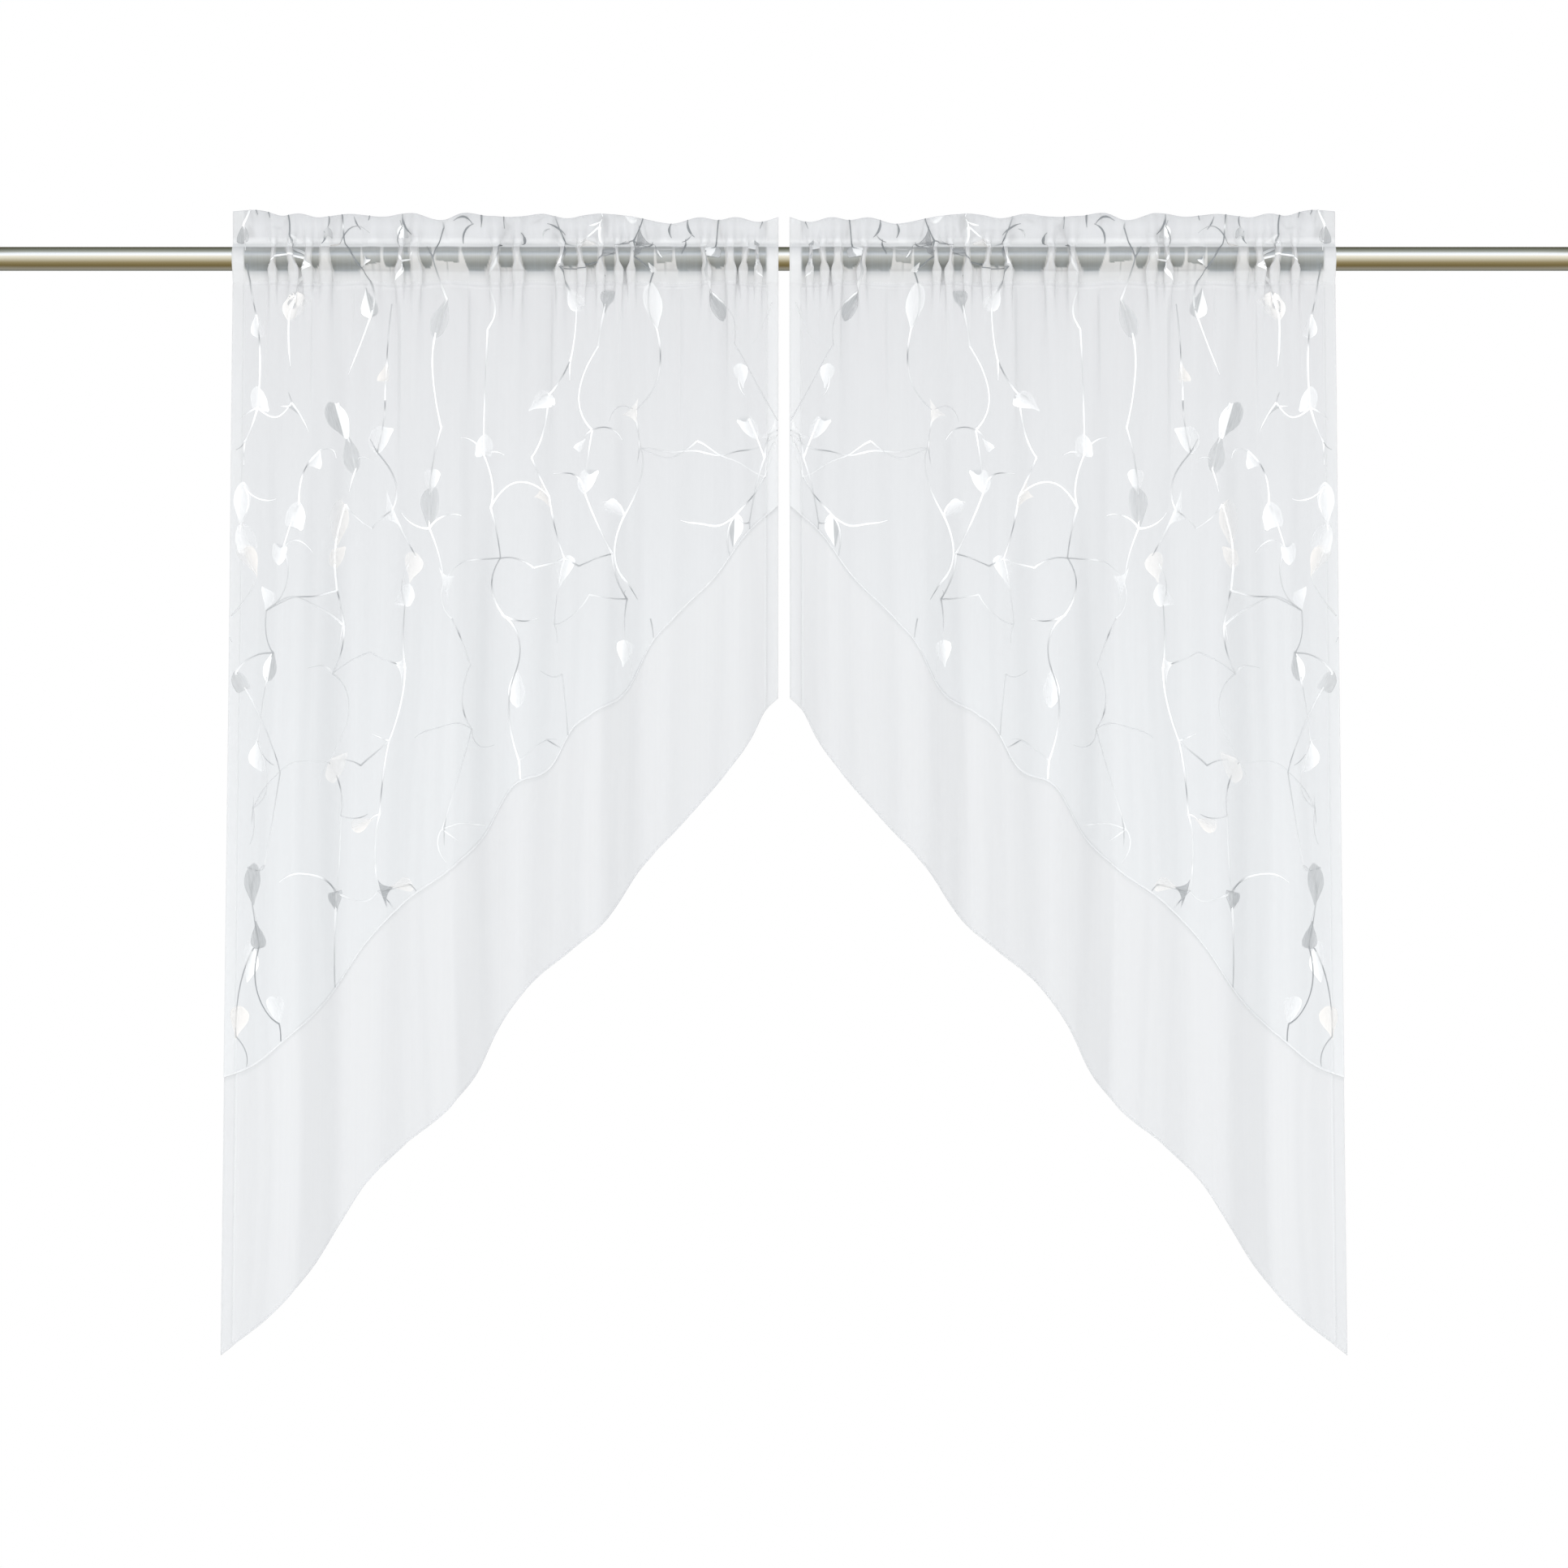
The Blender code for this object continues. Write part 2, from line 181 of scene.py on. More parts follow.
# Pleats that start at the pocket, each with one steep side: out, width, height, steep side, how far
# down they reach.
pleats = [
    (0.058, 0.016, 0.0016, 1, 0.13), (0.109, 0.024, 0.0022, -1, 0.24), (0.171, 0.018, 0.0015, 1, 0.12),
    (0.241, 0.022, 0.0020, 1, 0.20), (0.331, 0.020, 0.0022, -1, 0.15), (0.400, 0.026, 0.0026, 1, 0.22),
    (0.452, 0.018, 0.0014, -1, 0.10), (0.492, 0.022, 0.0022, 1, 0.18), (0.543, 0.016, 0.0016, -1, 0.12),
]
pleating = {"steep": 0.16, "whole": 0.25, "start": 0.02}  # shares of the width and reach, and metres

# Wavy seam and hem of the slanting border: out and drop in mm.
seamLine = [
    (6, 258), (40, 290), (69, 330), (115, 376), (142, 408), (160, 446), (202, 478), (222, 494),
    (240, 527), (290, 560), (314, 605), (343, 635), (400, 677), (443, 723), (479, 777), (527, 823),
    (555, 845), (592, 860),
]
hemLine = [
    (6, 460), (19, 474), (32, 500), (60, 538), (100, 584), (150, 640), (182, 689), (223, 724), (277, 773),
    (300, 809), (318, 849), (345, 884), (400, 930), (441, 972), (495, 1060), (522, 1091), (592, 1150),
]

hems = {
    "sideWidth": 0.0120,
    "layerGap": 0.00028,  # between the folded layers
    "seamLap": 0.0026,
    "seamTurn": 0.0022,
    "borderBehind": 0.00136,
    "seamShade": 0.20,  # painted shadow of the panel's edge on the border right under the seam
    "panelWhiteness": (0.66, 0.55, 0.80),  # painted light of the inner, outer and lower hem, for the light their layers scatter
    "borderWhiteness": (0.50, 0.45, 0.46),
    "rolledWidth": 0.0036,
    "sideFade": 0.0024,  # how soft the edges of the whiter strips are
    "lowFade": 0.0012,
}


def ease(t):
    t = np.clip(t, 0.0, 1.0)
    return t * t * (3 - 2 * t)


def fade(distance, over):  # 0 below 0, and 1 from the given distance on
    return np.clip(distance / over, 0, 1)


def bell(distance, reach, power=2):
    return np.exp(-((distance / reach) ** power))


def throughKnots(x, knots):  # a smooth line through knots of (x, value)
    kx, ky = (np.array(c, float) for c in zip(*knots))
    slope = np.gradient(ky, kx)
    i = np.clip(np.searchsorted(kx, x) - 1, 0, len(kx) - 2)
    w = kx[i + 1] - kx[i]
    t = fade(x - kx[i], w)
    a, b = ease(t), t * (1 - t)
    return ky[i] * (1 - a) + ky[i + 1] * a + w * (slope[i] * b * (1 - t) - slope[i + 1] * b * t)


def flareShare(height):
    reach = hang["outerEdge"] - hang["innerEdge"]
    return hang["outerFlare"] * np.maximum(-height, 0.0) / hang["tipDrop"] / reach


def lineHeights(out, line):
    knots = []  # the columns stand straight before they are flared
    for mm, down in line:
        lean = flareShare(-down / 1000)
        knots.append(((mm / 1000 + hang["innerEdge"] * lean) / (1 + lean), -down / 1000))
    return throughKnots(out, knots)


def flared(out, height):
    return out + (out - hang["innerEdge"]) * flareShare(height)


def pocketLine(out):
    sway, wave = heading["pocketSway"]
    return heading["pocketDrop"] + sway * np.sin(2 * np.pi * out / wave)


def gatherDepth(out, drop):
    total = np.zeros(np.broadcast(out, drop).shape)
    for centre, half, depth, *_ in gathers:
        core = gathering["core"] * half
        reach = np.sqrt(core**2 + gathering["softening"] * drop)
        total = total + depth * core / reach * bell(out - centre, reach)
    return total


def drapeDepth(out, drop):
    turns = sorted([(v, -d / 2) for _, v, d in drapeFolds] + [(c, d / 2) for c, _, d in drapeFolds])
    total = np.full(np.shape(out), turns[0][1])
    for (a, low), (b, high) in zip(turns, turns[1:]):
        total = np.where(out > a, low + (high - low) * ease((out - a) / (b - a)), total)
    start = hang["foldStartShare"]
    return total * (start + (1 - start) * ease(drop / hang["foldFullDrop"]))


def rippleDepth(out, drop):
    total = 0.0
    (wander, pace), (share, wave), edge = rippling["drift"], rippling["swell"], rippling["edge"]
    for spacing, height, phase, turn in ripples:
        drift = wander * np.sin(turn * drop * pace + phase)
        swell = 1 - share + share * np.sin(2 * np.pi * out / wave + turn * 2 + phase)
        total = total + height * swell * np.sin(2 * np.pi * (out + drift) / spacing + phase)
    inside = ease((out - hang["innerEdge"]) / edge) * ease((hang["outerEdge"] - out) / edge)
    return total * inside * ease(drop / rippling["start"])


def pleatDepth(out, drop):
    total = 0.0
    whole = pleating["whole"]
    for centre, width, height, side, reach in pleats:
        u = (out - centre) * side / width
        rise = ease(u + 1) * (1 - ease(u / pleating["steep"]))
        ending = ease((drop - whole * reach) / ((1 - whole) * reach))
        total = total + height * rise * ease(drop / pleating["start"]) * (1 - ending)
    return total


def clothPlane(out, drop):
    depth = gatherDepth(out, drop) + drapeDepth(out, drop)
    return hang["restPlane"] - (depth + rippleDepth(out, drop) + pleatDepth(out, drop))


# How far each gather moves the cloth sideways: it closes to a loop, spreads, and leans.
def loopShift(out, close, flare=0.0, lean=0.0):
    shift = np.zeros_like(out)
    for i, (centre, half, _, loop, closing, slant) in enumerate(gathers):
        room = min(abs(centre - g[0]) - 0.5 * g[3] for j, g in enumerate(gathers) if j != i)
        head = min(loop + flare, gathering["room"] * room)
        q = np.abs(out - centre) / half
        own = np.minimum(q, loopShape[-1][0])
        knots = [(at, base + share * head / half) for at, base, share in loopShape]
        shift += half * np.sign(out - centre) * close * closing * (throughKnots(own, knots) - own)
        shift += slant * lean * close * bell(q, gathering["leanReach"])
    return shift


def loopPaintedLight(out, close):  # painted light on a gather's loop: how much whiter it looks, 0 on the cloth between them
    total = np.zeros_like(out)
    least = gathering["openWhiteness"]
    for centre, half, _, _, closing, _ in gathers:
        own = cloth["loopWhiteness"] * (least + (1 - least) * closing)
        total = np.maximum(total, own * bell(out - centre, gathering["whiteReach"] * half, 6))
    return total * close


# Columns of the cloth stand closer together on the gathers, the pleats' steep sides and the edges
# of the side hems.
columnSetup = {
    "spacing": 0.0030,
    "least": 0.00036,
    "onGather": (*np.arange(0, 0.66, 0.13), *np.arange(0.68, 1.06, 0.055), 1.16, 1.30),  # half widths
    "onPleat": (-0.06, 0.0, 0.05, 0.10, 0.16, 0.24),  # widths
    "atHem": (-0.0012, 0.0, 0.0012),
}


def columnPlaces():
    inner, outer = hang["innerEdge"], hang["outerEdge"]
    hem, least = hems["sideWidth"], columnSetup["least"]
    spots = []
    for centre, half, *_ in gathers:
        spots += [centre + side * q * half for q in columnSetup["onGather"] for side in (-1, 1)]
    for centre, width, _, side, _ in pleats:
        spots += [centre + side * width * u for u in columnSetup["onPleat"]]
    spots += [edge + d for edge in (inner + hem, outer - hem) for d in columnSetup["atHem"]]
    spots += list(np.arange(inner, outer + 1e-6, columnSetup["spacing"]))
    kept = [inner]
    for x in sorted({round(float(x), 6) for x in spots}):
        if x - kept[-1] > least and x < outer - least:
            kept.append(x)
    return np.array(kept + [outer])


rowCount = {
    "backLow": 6, "backArc": 7, "backHigh": 4, "ruffleBack": 7, "fold": 5,
    "ruffleFront": 9, "frontHigh": 5, "frontArc": 20, "frontLow": 8, "body": 56,
}
bodyCrowding = 1.5  # rows stand closer together right under the pocket
edgeRows = [0.0060, 0.0046, 0.0034, 0.0028, 0.0022, 0.0012, 0.0]  # rows over a lower edge


# Rows of a layer that runs from the upper to the lower stitching round the rod's side.
def roundRod(y, upper, lower, side, counts):
    radius = rod["diameter"] / 2 + hang["clothOffRod"]
    top, low = (np.array([side * y, height]) for height in (upper, lower))
    first = np.arctan2(upper, side * y) - np.arccos(radius / np.hypot(*top))
    last = np.arctan2(lower, side * y) + np.arccos(radius / np.hypot(*low))

    def onRod(angle):
        return radius * np.array([np.cos(angle), np.sin(angle)])

    rows = [top + (onRod(first) - top) * t for t in np.linspace(0, 1, counts[0], endpoint=False)]
    rows += [onRod(first + (last - first) * t) for t in np.linspace(0, 1, counts[1], endpoint=False)]
    rows += [onRod(last) * (1 - t) + low * t for t in np.linspace(0, 1, counts[2] + 1)]
    return [(side * away, z) for away, z in rows]


def sideways(x, y):  # unit normal, towards the room, of a row seen from above
    dx, dy = np.gradient(x), np.gradient(y)
    length = np.hypot(dx, dy)
    return dy / length, -dx / length


# All rows of one panel's cloth, from its raw edge behind the rod, over the ruffle, to the seam.
def panelRows(out):
    rows, closings = [], []
    gather = gatherDepth(out, 0.0)
    low = -pocketLine(out)
    stitch = np.full_like(out, heading["stitchHeight"])
    plane = hang["restPlane"] - drapeDepth(out, np.zeros_like(out))
    top = throughKnots(out, headingTop)
    deepest, share = heading["backGather"]
    bulge = share * np.maximum(deepest - gather, 0.0)
    half = heading["stitchedGap"] / 2
    stitched = heading["stitchedClosing"]
    c = rowCount

    def add(x, y, z, close, offset):
        nx, ny = sideways(x, y)
        rows.append(np.column_stack([x + nx * offset, y + ny * offset, z]))
        closings.append(np.broadcast_to(close, out.shape))

    def nearStitches(layer, held):  # each row's places, and 1 at both sewn lines, 0 between them
        for k, (y, z) in enumerate(layer):
            yield y, z, float(max(ease(1 - k / held[0]), ease(1 - (len(layer) - 1 - k) / held[1])))

    # behind the rod, upwards
    for drop in (heading["rawEdge"], heading["rawEdge"] / 2):
        add(out + loopShift(out, stitched), plane - gather, low - drop, stitched, -half)
    behind = roundRod(plane - gather, stitch, low, 1, (c["backHigh"], c["backArc"], c["backLow"]))
    for y, z, near in reversed(list(nearStitches(behind, heading["heldBack"]))):
        close = stitched * near
        add(out + loopShift(out, close), y + bulge * (1 - near), z, close, -half * near)

    # the ruffle, up at the back, over its fold and down at the front
    def ruffle(r, side, turn=None):
        close = stitched * (1 - r) ** 3
        gap = heading["stitchedGap"] + (heading["ruffleGap"] - heading["stitchedGap"]) * r
        depth, short, long = heading["crease"]
        crease = depth * r * np.sin(2 * np.pi * out / short) * np.sin(2 * np.pi * out / long)
        lean = 1 + heading["ruffleLean"] * r
        y = plane - gatherDepth(out, heading["ruffleSpread"] * r) * lean + crease
        z = stitch + (top - heading["ruffleGap"] / 2 - stitch) * r
        x = out + loopShift(out, close)
        if turn is None:
            add(x, y, z, close, side * gap / 2)
        else:
            add(x, y, z + gap / 2 * math.cos(turn), close, gap / 2 * math.sin(turn))

    for r in np.linspace(0, 1, c["ruffleBack"] + 1)[1:]:
        ruffle(r, -1)
    for turn in np.radians(np.linspace(-90, 90, c["fold"] + 2)[1:-1]):
        ruffle(1.0, 0, float(turn))
    foldRow = len(rows) - c["fold"] // 2 - 1
    for r in np.linspace(1, 0, c["ruffleFront"] + 1)[:-1]:
        ruffle(r, 1)

    # the front of the pocket, down
    front = roundRod(plane, stitch, low, -1, (c["frontHigh"], c["frontArc"], c["frontLow"]))
    start, over = heading["loopFlaring"]
    for y, z, near in nearStitches(front, heading["heldFront"]):
        close = 1 - (1 - stitched) * near
        height = float(np.mean(z))
        flare = heading["loopFlare"] * float(ease((start - height) / over))
        add(out + loopShift(out, close, flare, height), y - gather, z, close, half * near)
    pocketRow = len(rows) - 1

    # the body, from the lower stitching to the seam
    seam = lineHeights(out, seamLine)
    steps = np.linspace(0, 1, c["body"] + 1)[1:] ** bodyCrowding
    heights = [low + (seam + edgeRows[0] - low) * t for t in steps]
    for z in heights + [seam + up for up in edgeRows[1:]]:
        drop = low - z
        close = stitched * np.exp(-drop / heading["loopFade"])
        x = flared(out, z) + loopShift(out, close, heading["loopFlare"], -heading["pocketDrop"])
        add(x, clothPlane(out, drop), z, close, half * np.exp(-drop / heading["gapFade"]))
    return np.array(rows), np.array(closings), foldRow, pocketRow


def acrossNormals(points):  # a grid's normals, out of the cloth's right side
    down = np.gradient(points, axis=0)
    across = np.gradient(points, axis=1)
    normal = np.cross(down, across)
    return normal / np.linalg.norm(normal, axis=2, keepdims=True)


def alongRows(points):  # distance down each column
    step = np.linalg.norm(np.diff(points, axis=0), axis=2)
    return np.vstack([np.zeros(points.shape[1]), np.cumsum(step, axis=0)])


# A cloth grid: points, normals, its two cloth coordinates in metres, and what the material reads.
def clothGrid(out, points, closing):
    normals = acrossNormals(points)
    bodyRow = points[-points.shape[0] // 4]
    width = np.linalg.norm(np.diff(bodyRow, axis=0), axis=1)
    facing = np.maximum(np.abs(normals[:, :, 1]), cloth["leastFacing"])
    bunch = np.array([loopPaintedLight(out, row) for row in closing])
    return {
        "out": out,
        "points": points,
        "normals": normals,
        "across": np.broadcast_to(np.concatenate([[0], np.cumsum(width)]), points.shape[:2]),
        "down": alongRows(points),
        "fullness": facing**-cloth["steepShare"],
        "bunch": bunch,
        "pressed": np.zeros(points.shape[:2]),
    }


# 1 where the cloth of a column and place touches the rod, 0 where it stands off; its density and painted
# shade follow this, and the widest gathers get it though they stand off.
def touching(out, x, height):
    hem = hems["sideWidth"]
    marks = [(hang["innerEdge"] + hem, 0.0, 0.0), *((g[0], g[3], g[5]) for g in gathers)]
    marks.append((hang["outerEdge"] - hem, 0.0, 0.0))
    radius = rod["diameter"] / 2
    total = np.zeros_like(x)

    def square(t, power):  # 1 at the top of a patch, 0 at its lower end
        return (1 - t**power) ** (1 / power)

    def soft(inside):
        return ease(0.5 + inside / contact["edge"] / 2)

    for (a, loopA, slantA), (b, loopB, slantB), patch in zip(marks, marks[1:], contacts):
        reach, power, narrowing = patch
        left, right = a + loopA + slantA * height, b - loopB + slantB * height
        t = fade(radius - height, radius + reach / 1000)
        barrel = contact["barrel"] * (1 - t) ** 2 * (power < contact["roundUnder"])
        share = (1 - narrowing * t ** contact["curve"] - barrel) * square(t, power)
        total = np.maximum(total, soft((right - left) / 2 * share - np.abs(x - (left + right) / 2)))
    core, over = contact["core"]
    for centre, half, *_ in gathers:
        total = total * fade(np.abs(out - centre) / half - core, over)
    for index, reach, tilt, clearness in wideContacts:
        centre, _, _, loop, _, slant = gathers[index]
        away = (x - centre - slant * height) / loop
        t = fade(radius - height, radius + (reach + tilt * np.clip(away, -1, 1)) / 1000)
        share = (1 - contact["wideNarrowing"] * t) * square(t, contact["wideSquare"])
        share = share * contact["wideShare"]
        total = np.maximum(total, clearness * soft((share - np.abs(away)) * loop))
    return total


# Where the heading's looks change: heights from the rod's axis or surface, then over how much.
headingFades = {
    "rod": (0.0008, 0.0012),
    "under": (0.0003, 0.009, 1.5),  # a patch's painted shade goes on under the rod, and how fast that fades
    "upper": 0.0012,
    "stitches": (0.0015, 0.0022, 0.0035),  # middle under the stitching, half height, fade
    "ruffleTop": (0.034, 0.010),
    "band": (0.0004, 0.0020),
    "bandEnd": (0.006, 0.004),
}


# Folded layers and the ruffle get painted light, a whiter colour, and cloth that is pressed on the rod
# gets painted shade, a darker colour, as it gets no light from behind.
def finishHeading(grid):
    x, y, height = (grid["points"][:, :, i] for i in range(3))
    radius = rod["diameter"] / 2
    past, over = headingFades["rod"]
    onRod = (y < 0) * fade(radius + past - np.abs(height), over)
    touch = touching(grid["out"], x, height)
    above, reach, power = headingFades["under"]
    under = touching(grid["out"], x, np.maximum(height, -radius + above))
    under = under * (height < -radius) * (1 - fade(-radius - height, reach)) ** power
    shade = np.interp(height, *zip(*contactShade))
    grid["pressed"] = onRod * touch * shade + (1 - onRod) * under * cloth["underShade"]
    onRodFullness = cloth["looseFullness"] + (cloth["pressedFullness"] - cloth["looseFullness"]) * touch
    grid["fullness"] = grid["fullness"] * (1 - onRod) + onRod * onRodFullness
    grid["bunch"] = grid["bunch"] * (1 - onRod) + onRod * (1 - touch) * cloth["looseWhiteness"]

    up = fade(height - radius + headingFades["upper"], headingFades["upper"])
    lower, half, over = headingFades["stitches"]
    near = bell(np.maximum(np.abs(height - heading["stitchHeight"] + lower) - half, 0), over)
    grid["fullness"] = grid["fullness"] * (1 - up * near) + up * near * cloth["stitchFullness"]
    start, over = headingFades["ruffleTop"]
    ruffle = cloth["ruffleWhiteness"] - cloth["foldShade"] * fade(height - start, over)
    above = up * (ruffle + (cloth["stitchWhiteness"] - ruffle) * near)
    low = -pocketLine(grid["out"])[None, :]
    (start, over), (end, endOver) = headingFades["band"], headingFades["bandEnd"]
    below = fade(-radius + start - height, over) * fade(height - low + end, endOver)
    grid["bunch"] = np.maximum(grid["bunch"], np.maximum(above, below * cloth["bandWhiteness"]))
    return grid


# The side hems' own front layer, and the last strip over the lower edge, get painted light too: a whiter
# colour for the light their layers scatter.
def whitenEdges(grid, lowerStrip, whiteness):
    edges = (grid["out"] - grid["out"][0], grid["out"][-1] - grid["out"])
    soft, lowSoft = hems["sideFade"], hems["lowFade"]
    inner, outer = (fade(hems["sideWidth"] + soft / 2 - away, soft) for away in edges)
    side = np.maximum(inner, outer)
    grid["pressed"] = grid["pressed"] * (1 - side[None, :])
    grid["fullness"] = grid["fullness"] * (1 + (cloth["sideHemFullness"] - 1) * side[None, :])
    low = fade(lowerStrip + lowSoft / 2 - (grid["down"][-1] - grid["down"]), lowSoft)
    whiter = np.maximum((inner * whiteness[0] + outer * whiteness[1])[None, :], low * whiteness[2])
    grid["bunch"] = np.maximum(grid["bunch"], whiter)
    return grid


fields = ("points", "normals", "across", "down", "fullness", "bunch", "pressed")


# Rows that turn back behind the lower edge: (distance up from the edge, layers behind).
def turnUnder(grid, turns):
    edge = {k: grid[k][-1] for k in fields}
    above = edge["points"] - grid["points"][-2]
    step = np.linalg.norm(above, axis=1, keepdims=True)
    rows = []
    for up, layer in turns:
        points = edge["points"] - above / step * up - edge["normals"] * layer * hems["layerGap"]
        rows.append({**edge, "points": points, "down": edge["down"] + up})
    joined = {k: np.concatenate([grid[k], [row[k] for row in rows]]) for k in fields}
    return {**grid, **joined}


# The side hems are folded behind the cloth twice, so each edge gets hidden columns: (distance in
# from the edge, layers behind).
sideTuck = [(0.0015, 1), (0.0055, 1)]
wide = hems["sideWidth"]
sideTuck += [(wide - 0.0010, 1), (wide, 1.5), (wide - 0.0010, 2)]
sideTuck += [(0.0055, 2), (0.0010, 2), (-0.0002, 1)]
tuckSpread = 0.001  # how far a hidden layer lies away in the cloth's own pattern


def foldSides(grid):
    out = grid["out"]

    def hidden(at, layer, sign):
        inside = np.clip(at, out[0], out[-1])
        i = int(np.clip(np.searchsorted(out, inside) - 1, 0, len(out) - 2))
        f = (inside - out[i]) / (out[i + 1] - out[i])
        column = {k: grid[k][:, i] * (1 - f) + grid[k][:, i + 1] * f for k in fields}
        column["points"] = column["points"] - column["normals"] * layer * hems["layerGap"]
        column["points"][:, 0] += at - inside
        column["across"] = column["across"] + sign * tuckSpread * layer
        return column

    before = [hidden(out[0] + d, layer, -1) for d, layer in sideTuck]
    after = [hidden(out[-1] - d, layer, 1) for d, layer in reversed(sideTuck)]
    whole = {}
    for k in fields:
        first, last = (np.stack([column[k] for column in part], axis=1) for part in (before, after))
        whole[k] = np.concatenate([first, grid[k], last], axis=1)
    return whole


def meshPiece(name, points, faces, material, uv=None, values=None):
    mesh = bpy.data.meshes.new(name)
    mesh.from_pydata(np.asarray(points).tolist(), [], faces)
    if uv is not None:
        layer = mesh.uv_layers.new(name="UVMap")
        corners = np.zeros(len(mesh.loops), np.int32)
        mesh.loops.foreach_get("vertex_index", corners)
        layer.data.foreach_set("uv", np.asarray(uv, np.float32)[corners].ravel())
    for key, value in (values or {}).items():
        attributeData = mesh.attributes.new(key, "FLOAT", "POINT").data
        attributeData.foreach_set("value", np.asarray(value, np.float32).ravel())
    mesh.polygons.foreach_set("use_smooth", [True] * len(mesh.polygons))
    mesh.materials.append(material)
    mesh.validate()
    mesh.update()
    piece = bpy.data.objects.new(name, mesh)
    scene.collection.objects.link(piece)
    return piece


def gridFaces(rows, columns, flip):
    r, c = np.meshgrid(np.arange(rows - 1), np.arange(columns - 1), indexing="ij")
    a = (r * columns + c).ravel()
    quads = np.column_stack([a, a + columns, a + columns + 1, a + 1])
    return (quads[:, ::-1] if flip else quads).tolist()


def tubeFaces(rings, sides):  # quads between rings of points, and a face on both ends
    quads = []
    for start in range(0, (rings - 1) * sides, sides):
        for k in range(sides):
            a, b = start + k, start + (k + 1) % sides
            quads.append((a, b, b + sides, a + sides))
    return quads + [tuple(reversed(range(sides))), tuple(range((rings - 1) * sides, rings * sides))]


def clothPiece(name, grid, side, material):
    sheet = foldSides(grid)
    rows, columns = sheet["points"].shape[:2]
    points = sheet["points"].reshape(-1, 3) * (side, 1, 1)
    uv = np.column_stack([sheet["across"].ravel(), sheet["down"].ravel()])
    values = {k: sheet[k] for k in ("fullness", "bunch", "pressed")}
    return meshPiece(name, points, gridFaces(rows, columns, side < 0), material, uv, values)


# Shader maths as expressions: a signal is one socket.
class Signal:
    def __init__(self, socket):
        self.socket = socket
        self.tree = socket.id_data

    def maths(self, operation, *others, flip=False):
        node = self.tree.nodes.new("ShaderNodeMath")
        node.operation = operation
        terms = [self, *others]
        for slot, term in zip(node.inputs, reversed(terms) if flip else terms):
            setSocket(self.tree, slot, term)
        return Signal(node.outputs[0])

    def __add__(self, other):
        return self.maths("ADD", other)

    def __radd__(self, other):
        return self.maths("ADD", other)

    def __sub__(self, other):
        return self.maths("SUBTRACT", other)

    def __rsub__(self, other):
        return self.maths("SUBTRACT", other, flip=True)

    def __mul__(self, other):
        return self.maths("MULTIPLY", other)

    def __rmul__(self, other):
        return self.maths("MULTIPLY", other)

    def __truediv__(self, other):
        return self.maths("DIVIDE", other)

    def __rpow__(self, other):
        return self.maths("POWER", other, flip=True)

    def sine(self):
        return self.maths("SINE")

    def within(self):  # kept from 0 to 1
        return self.maths("MAXIMUM", 0.0).maths("MINIMUM", 1.0)


def setSocket(tree, slot, value):
    if isinstance(value, Signal):
        tree.links.new(value.socket, slot)
    else:
        slot.default_value = value


# One node: its type, its settings, then the values or links of its sockets. It gives one output,
# or as many as are asked for.
def place(tree, kind, settings=None, sockets=None, output=0):
    node = tree.nodes.new(kind)
    for key, value in (settings or {}).items():
        if key == "stops":
            ramp = node.color_ramp
            while len(ramp.elements) < len(value):
                ramp.elements.new(0.5)
            for element, (position, colour) in zip(ramp.elements, value):
                element.position = position
                element.color = (*colour, 1.0)
        else:
            setattr(node, key, value)
    for key, value in (sockets or {}).items():
        setSocket(tree, node.inputs[key], value)
    if isinstance(output, tuple):
        return [Signal(node.outputs[k]) for k in output]
    return Signal(node.outputs[output]) if len(node.outputs) else node


def newMaterial(name):
    material = bpy.data.materials.new(name)
    material.use_nodes = True
    material.node_tree.nodes.clear()
    return material, material.node_tree


def colourMix(tree, share, first, second):
    first, second = ((*c, 1.0) if isinstance(c, tuple) else c for c in (first, second))
    return place(tree, "ShaderNodeMix", {"data_type": "RGBA"}, {0: share, 6: first, 7: second}, 2)


def parts(tree, vector):
    return place(tree, "ShaderNodeSeparateXYZ", sockets={0: vector}, output=(0, 1, 2))


def combine(tree, x, y, z=0.0):
    return place(tree, "ShaderNodeCombineXYZ", sockets={0: x, 1: y, 2: z})


def attribute(tree, name):
    return place(tree, "ShaderNodeAttribute", {"attribute_name": name}, output=2)


def clothPlaces(tree):  # across and down the cloth, in metres
    return parts(tree, place(tree, "ShaderNodeUVMap", {"uv_map": "UVMap"}))[:2]


def noise(tree, vector, scale=1.0, detail=2.0, roughness=0.5):
    sockets = {"Vector": vector, "Scale": scale, "Detail": detail, "Roughness": roughness}
    return place(tree, "ShaderNodeTexNoise", sockets=sockets)


def bump(tree, strength, distance, height):
    sockets = {"Strength": strength, "Distance": distance, "Height": height}
    return place(tree, "ShaderNodeBump", sockets=sockets)


def solid(tree, colour, roughness, others):
    sockets = {"Base Color": colour, "Roughness": roughness, **others}
    return place(tree, "ShaderNodeBsdfPrincipled", sockets=sockets)


# Thin cloth: some light goes through its threads, and between them it is clear.
def thinCloth(tree, threads, glowColour, glowShare, cover, clearColour):
    glow = place(tree, "ShaderNodeBsdfTranslucent", sockets={"Color": (*glowColour, 1.0)})
    clear = place(tree, "ShaderNodeBsdfTransparent", sockets={"Color": (*clearColour, 1.0)})
    body = place(tree, "ShaderNodeMixShader", sockets={0: glowShare, 1: threads, 2: glow})
    return place(tree, "ShaderNodeMixShader", sockets={0: cover, 1: clear, 2: body})


def surfaceOutput(tree, shader):
    place(tree, "ShaderNodeOutputMaterial", sockets={0: shader})


